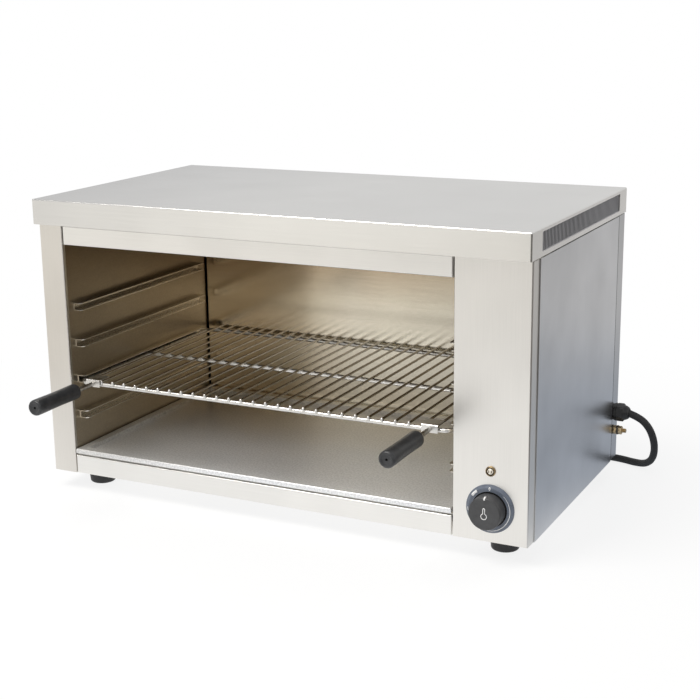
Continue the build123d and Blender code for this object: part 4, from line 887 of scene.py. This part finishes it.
# ---- Bonding stud ----
# A brass M6 screw through the rear strip, with a nut inside, and outside a washer, a nut, two
# more washers and the nut that clamps a bonding lead. The brass has dulled.
stud_low, stud_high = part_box("bonding_stud")
stud_y, stud_z = (stud_low.y + stud_high.y) / 2, (stud_low.z + stud_high.z) / 2
dull_brass = new_finish("dull_brass", (0.70, 0.55, 0.33), 0.3, metal=1.0)
mottle(dull_brass, 240.0, (0.50, 0.36, 0.19), (0.82, 0.67, 0.43), 0.22, 0.46, detail=4.0)
stud_radius, thread_depth, thread_pitch, end_chamfer = 0.0030, 0.00055, 0.001, 0.0008
rows_a_pitch, thread_steps = 6, 32
thread = bmesh.new()
thread_rows = round((stud_high.x - stud_low.x) / thread_pitch * rows_a_pitch)
rings = []
for row in range(thread_rows + 1):
    x = stud_low.x + (stud_high.x - stud_low.x) * row / thread_rows
    from_end = min(stud_high.x - x, x - stud_low.x)
    taper = min(1.0, from_end / end_chamfer + 0.75)
    ring = []
    for step in range(thread_steps):
        angle = 2 * math.pi * step / thread_steps
        groove = abs((x / thread_pitch - step / thread_steps) % 1.0 * 2 - 1)
        radius = (stud_radius - thread_depth * groove) * taper
        y, z = stud_y + radius * math.cos(angle), stud_z + radius * math.sin(angle)
        ring.append(thread.verts.new((x, y, z)))
    rings.append(ring)
skin(thread, rings)
for ring in (rings[0], rings[-1]):
    thread.faces.new(ring)
stud_thread = add_piece("stud_thread", thread, "casing", dull_brass)
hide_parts("bonding_stud")

nut_flats = 0.010
nut_profile = [
    (0, 0.0031), (0, 0.0048), (0.0005, 0.0058), (0.0043, 0.0058),
    (0.0048, 0.0048), (0.0048, 0.0031), (0, 0.0031)]
fixing_nuts = [(wall_x - 0.0058, stud_y, stud_z), (wall_x + 0.0012, stud_y, stud_z)]
clamp_nut = [(wall_x + 0.0083, stud_y, stud_z)]
nuts = bmesh.new()
turn(nuts, fixing_nuts, (1, 0, 0), nut_profile, 72, across=nut_flats)
turn(nuts, clamp_nut, (1, 0, 0), nut_profile, 72, across=nut_flats, start=0.3)
stud_nuts = add_piece("stud_nuts", nuts, "casing", dull_brass)
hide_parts("bonding_nuts")
washer_profile = [
    (0, 0.0031), (0, 0.0060), (0.00015, 0.0062), (0.00095, 0.0062),
    (0.0011, 0.0060), (0.0011, 0.0031), (0, 0.0031)]
washer_places = [(wall_x + reach, stud_y, stud_z) for reach in (0.00005, 0.00605, 0.0072)]
washers = bmesh.new()
turn(washers, washer_places, (1, 0, 0), washer_profile, 48)
washer_dark = new_finish("washer_dark", (0.18, 0.16, 0.13), 0.42, metal=1.0)
vary(washer_dark, "Base Color", grain(washer_dark, 500.0), (0.11, 0.10, 0.08), (0.26, 0.23, 0.19))
vary(washer_dark, "Roughness", grain(washer_dark, 900.0), 0.34, 0.5)
add_piece("stud_washers", washers, "casing", washer_dark)


# ---- Terminal block ----
# A cream moulded block on the base pan beside the gland, where the cord's cores meet the
# wiring.
block_cream = new_finish("block_cream", (0.72, 0.69, 0.60), 0.5)
mottle(block_cream, 260.0, (0.66, 0.63, 0.54), (0.76, 0.74, 0.66), 0.42, 0.58)
paint(block_cream, "terminal_block")


# ---- Cover and vents ----
# The cover is an upside-down tray of 1 mm sheet that overhangs the front. A finely slotted
# screen is welded behind the window in each of its sides, to let the hot air out.
cover_steel = sheet_steel("cover_steel", (0.86, 0.85, 0.82), 0.24, "x", cloud=0.03)
# Painted shade: darker and a little cooler towards the left end.
tinted(cover_steel, (0.83, 0.83, 0.84), -0.02, -0.33, 1.0, along="X")
paint(cover_steel, "top_cover")
screen_steel = sheet_steel("screen_steel", (0.56, 0.56, 0.58), 0.45, "z", cloud=0.10)
paint(screen_steel, "vent_screen_left", "vent_screen_right")


# ---- Bench and light ----
# A white bench and a pale room, with one large, slightly warm lamp high on the left in
# front of the appliance, a small one before it, and cooler light from all round. Metal and
# glass see the bench and the room darker in most directions, darkest to the front right:
# painted shade in their reflections.
def joined(tree, how, first, second):
    """Joins two numbers, each of them plain or from a node."""
    node = tree.nodes.new("ShaderNodeMath")
    node.operation = how
    for socket, value in zip(node.inputs, (first, second)):
        if isinstance(value, float):
            socket.default_value = value
        else:
            tree.links.new(value, socket)
    return node.outputs[0]


def white_where_seen(tree, plain, share, mirrored):
    """Shows the camera a share of plain white, and metal and glass the mirrored colour."""
    rays = tree.nodes.new("ShaderNodeLightPath")
    glossy, clear = rays.outputs["Is Glossy Ray"], rays.outputs["Is Transmission Ray"]
    mirror_rays = joined(tree, "MAXIMUM", glossy, clear)
    seen = joined(tree, "MULTIPLY", rays.outputs["Is Camera Ray"], share)
    in_world = plain.node.bl_idname == "ShaderNodeBackground"
    white = tree.nodes.new("ShaderNodeBackground" if in_world else "ShaderNodeEmission")
    white.inputs["Strength"].default_value = 1.0
    shade = tree.nodes.new("ShaderNodeMix")
    shade.data_type = "RGBA"
    shade.inputs[7].default_value = (1.0, 1.0, 1.0, 1.0)
    tree.links.new(rays.outputs["Is Camera Ray"], shade.inputs[0])
    tree.links.new(mirrored, shade.inputs[6])
    tree.links.new(shade.outputs[2], white.inputs["Color"])
    choice = tree.nodes.new("ShaderNodeMixShader")
    tree.links.new(joined(tree, "MAXIMUM", seen, mirror_rays), choice.inputs[0])
    tree.links.new(plain, choice.inputs[1])
    tree.links.new(white.outputs[0], choice.inputs[2])
    return choice.outputs[0]


def dimmed(tree, coordinate, under, direction, start, end, dim):
    """Fades one colour into a dim one along a direction."""
    place = tree.nodes.new("ShaderNodeTexCoord")
    along = tree.nodes.new("ShaderNodeVectorMath")
    along.operation = "DOT_PRODUCT"
    along.inputs[1].default_value = direction
    tree.links.new(place.outputs[coordinate], along.inputs[0])
    level = tree.nodes.new("ShaderNodeMapRange")
    level.interpolation_type = "SMOOTHSTEP"
    level.inputs["From Min"].default_value = start
    level.inputs["From Max"].default_value = end
    tree.links.new(along.outputs["Value"], level.inputs["Value"])
    fade = tree.nodes.new("ShaderNodeMix")
    fade.data_type = "RGBA"
    tree.links.new(level.outputs["Result"], fade.inputs[0])
    if isinstance(under, tuple):
        fade.inputs[6].default_value = (*under, 1.0)
    else:
        tree.links.new(under, fade.inputs[6])
    fade.inputs[7].default_value = (*dim, 1.0)
    return fade.outputs[2]


bench_white = new_finish("bench_white", (0.93, 0.93, 0.93), 0.9, Specular_IOR_Level=0.0)
bench_tree = bench_white.node_tree
bench_shader = bench_tree.nodes["Principled BSDF"].outputs["BSDF"]
bench_place = bench_tree.nodes.new("ShaderNodeTexCoord")
bench_away = bench_tree.nodes.new("ShaderNodeVectorMath")
bench_away.operation = "LENGTH"
bench_tree.links.new(bench_place.outputs["Object"], bench_away.inputs[0])
bench_share = spread(bench_white, bench_away.outputs["Value"], 0.82, 1.0, 0.36, 0.9)
bench_reflected_shade = (1.0, 1.0, 1.0)
# Painted shade in reflections: metal and glass see the bench darker in bands round the appliance,
# cooler to the right and darkest to the front right.
for bench_shade_fade in (
    ((-0.75, -0.66, 0.0), 0.65, 1.1, (0.72, 0.68, 0.62)),
    ((-0.75, -0.66, 0.0), 1.25, 1.6, (1.0, 0.98, 0.94)),
    ((1.0, 0.3, 0.0), 0.22, 0.44, (0.40, 0.43, 0.48)),
    ((0.5, 0.86, 0.0), 0.6, 1.4, (0.64, 0.63, 0.625)),
    ((1.0, -0.35, 0.0), 0.45, 0.7, (0.14, 0.13, 0.12)),
):
    bench_reflected_shade = dimmed(bench_tree, "Object", bench_reflected_shade, *bench_shade_fade)
bench_seen = white_where_seen(bench_tree, bench_shader, bench_share, bench_reflected_shade)
bench_tree.links.new(bench_seen, bench_tree.nodes["Material Output"].inputs["Surface"])
bench_top = bpy.data.meshes.new("bench_top")
bench_top.from_pydata([(-9, -9, 0), (9, -9, 0), (9, 9, 0), (-9, 9, 0)], [], [(0, 1, 2, 3)])
bench = bpy.data.objects.new("bench_top", bench_top)
bpy.context.scene.collection.objects.link(bench)
bench_top.materials.append(bench_white)

room = bpy.data.worlds.new("room")
room.use_nodes = True
bpy.context.scene.world = room
room_light = room.node_tree.nodes["Background"]
room_light.inputs["Color"].default_value = (0.95, 0.975, 1.0, 1.0)
room_light.inputs["Strength"].default_value = 0.45
room_tree = room.node_tree
room_reflected_shade = (1.0, 0.99, 0.97)
# Painted shade in reflections: metal and glass see the room darker behind, to the left and above
# the front, and darkest to the front right and below.
for room_shade_fade in (
    ((0.0, 1.0, 0.0), -0.2, 0.5, (0.70, 0.70, 0.705)),
    ((-1.0, 0.0, 0.0), 0.5, 0.75, (0.64, 0.64, 0.64)),
    ((0.0, -0.34, 0.94), 0.53, 0.70, (0.48, 0.48, 0.49)),
    ((0.7, -0.7, -0.6), 0.6, 1.0, (0.24, 0.24, 0.24)),
):
    room_reflected_shade = dimmed(room_tree, "Generated", room_reflected_shade, *room_shade_fade)
room_seen = white_where_seen(room_tree, room_light.outputs[0], 1.0, room_reflected_shade)
room_tree.links.new(room_seen, room_tree.nodes["World Output"].inputs["Surface"])


def soft_lamp(name, place, aim, size, colour, power):
    """A square soft lamp, turned to shine at one point."""
    panel = bpy.data.lights.new(name, "AREA")
    panel.size = size
    panel.color = colour
    panel.energy = power
    lamp = bpy.data.objects.new(name, panel)
    bpy.context.scene.collection.objects.link(lamp)
    lamp.location = place
    lamp.rotation_euler = (Vector(aim) - Vector(place)).to_track_quat("-Z", "Y").to_euler()


soft_lamp("left_lamp", (-1.05, -1.4, 3.3), (0.0, 0.0, 0.15), 1.8, (1.0, 0.97, 0.92), 95.0)
soft_lamp("front_lamp", (0.4, -1.9, 3.1), (0.0, 0.0, 0.15), 1.4, (1.0, 0.98, 0.95), 18.0)
bpy.context.scene.view_settings.view_transform = "Standard"
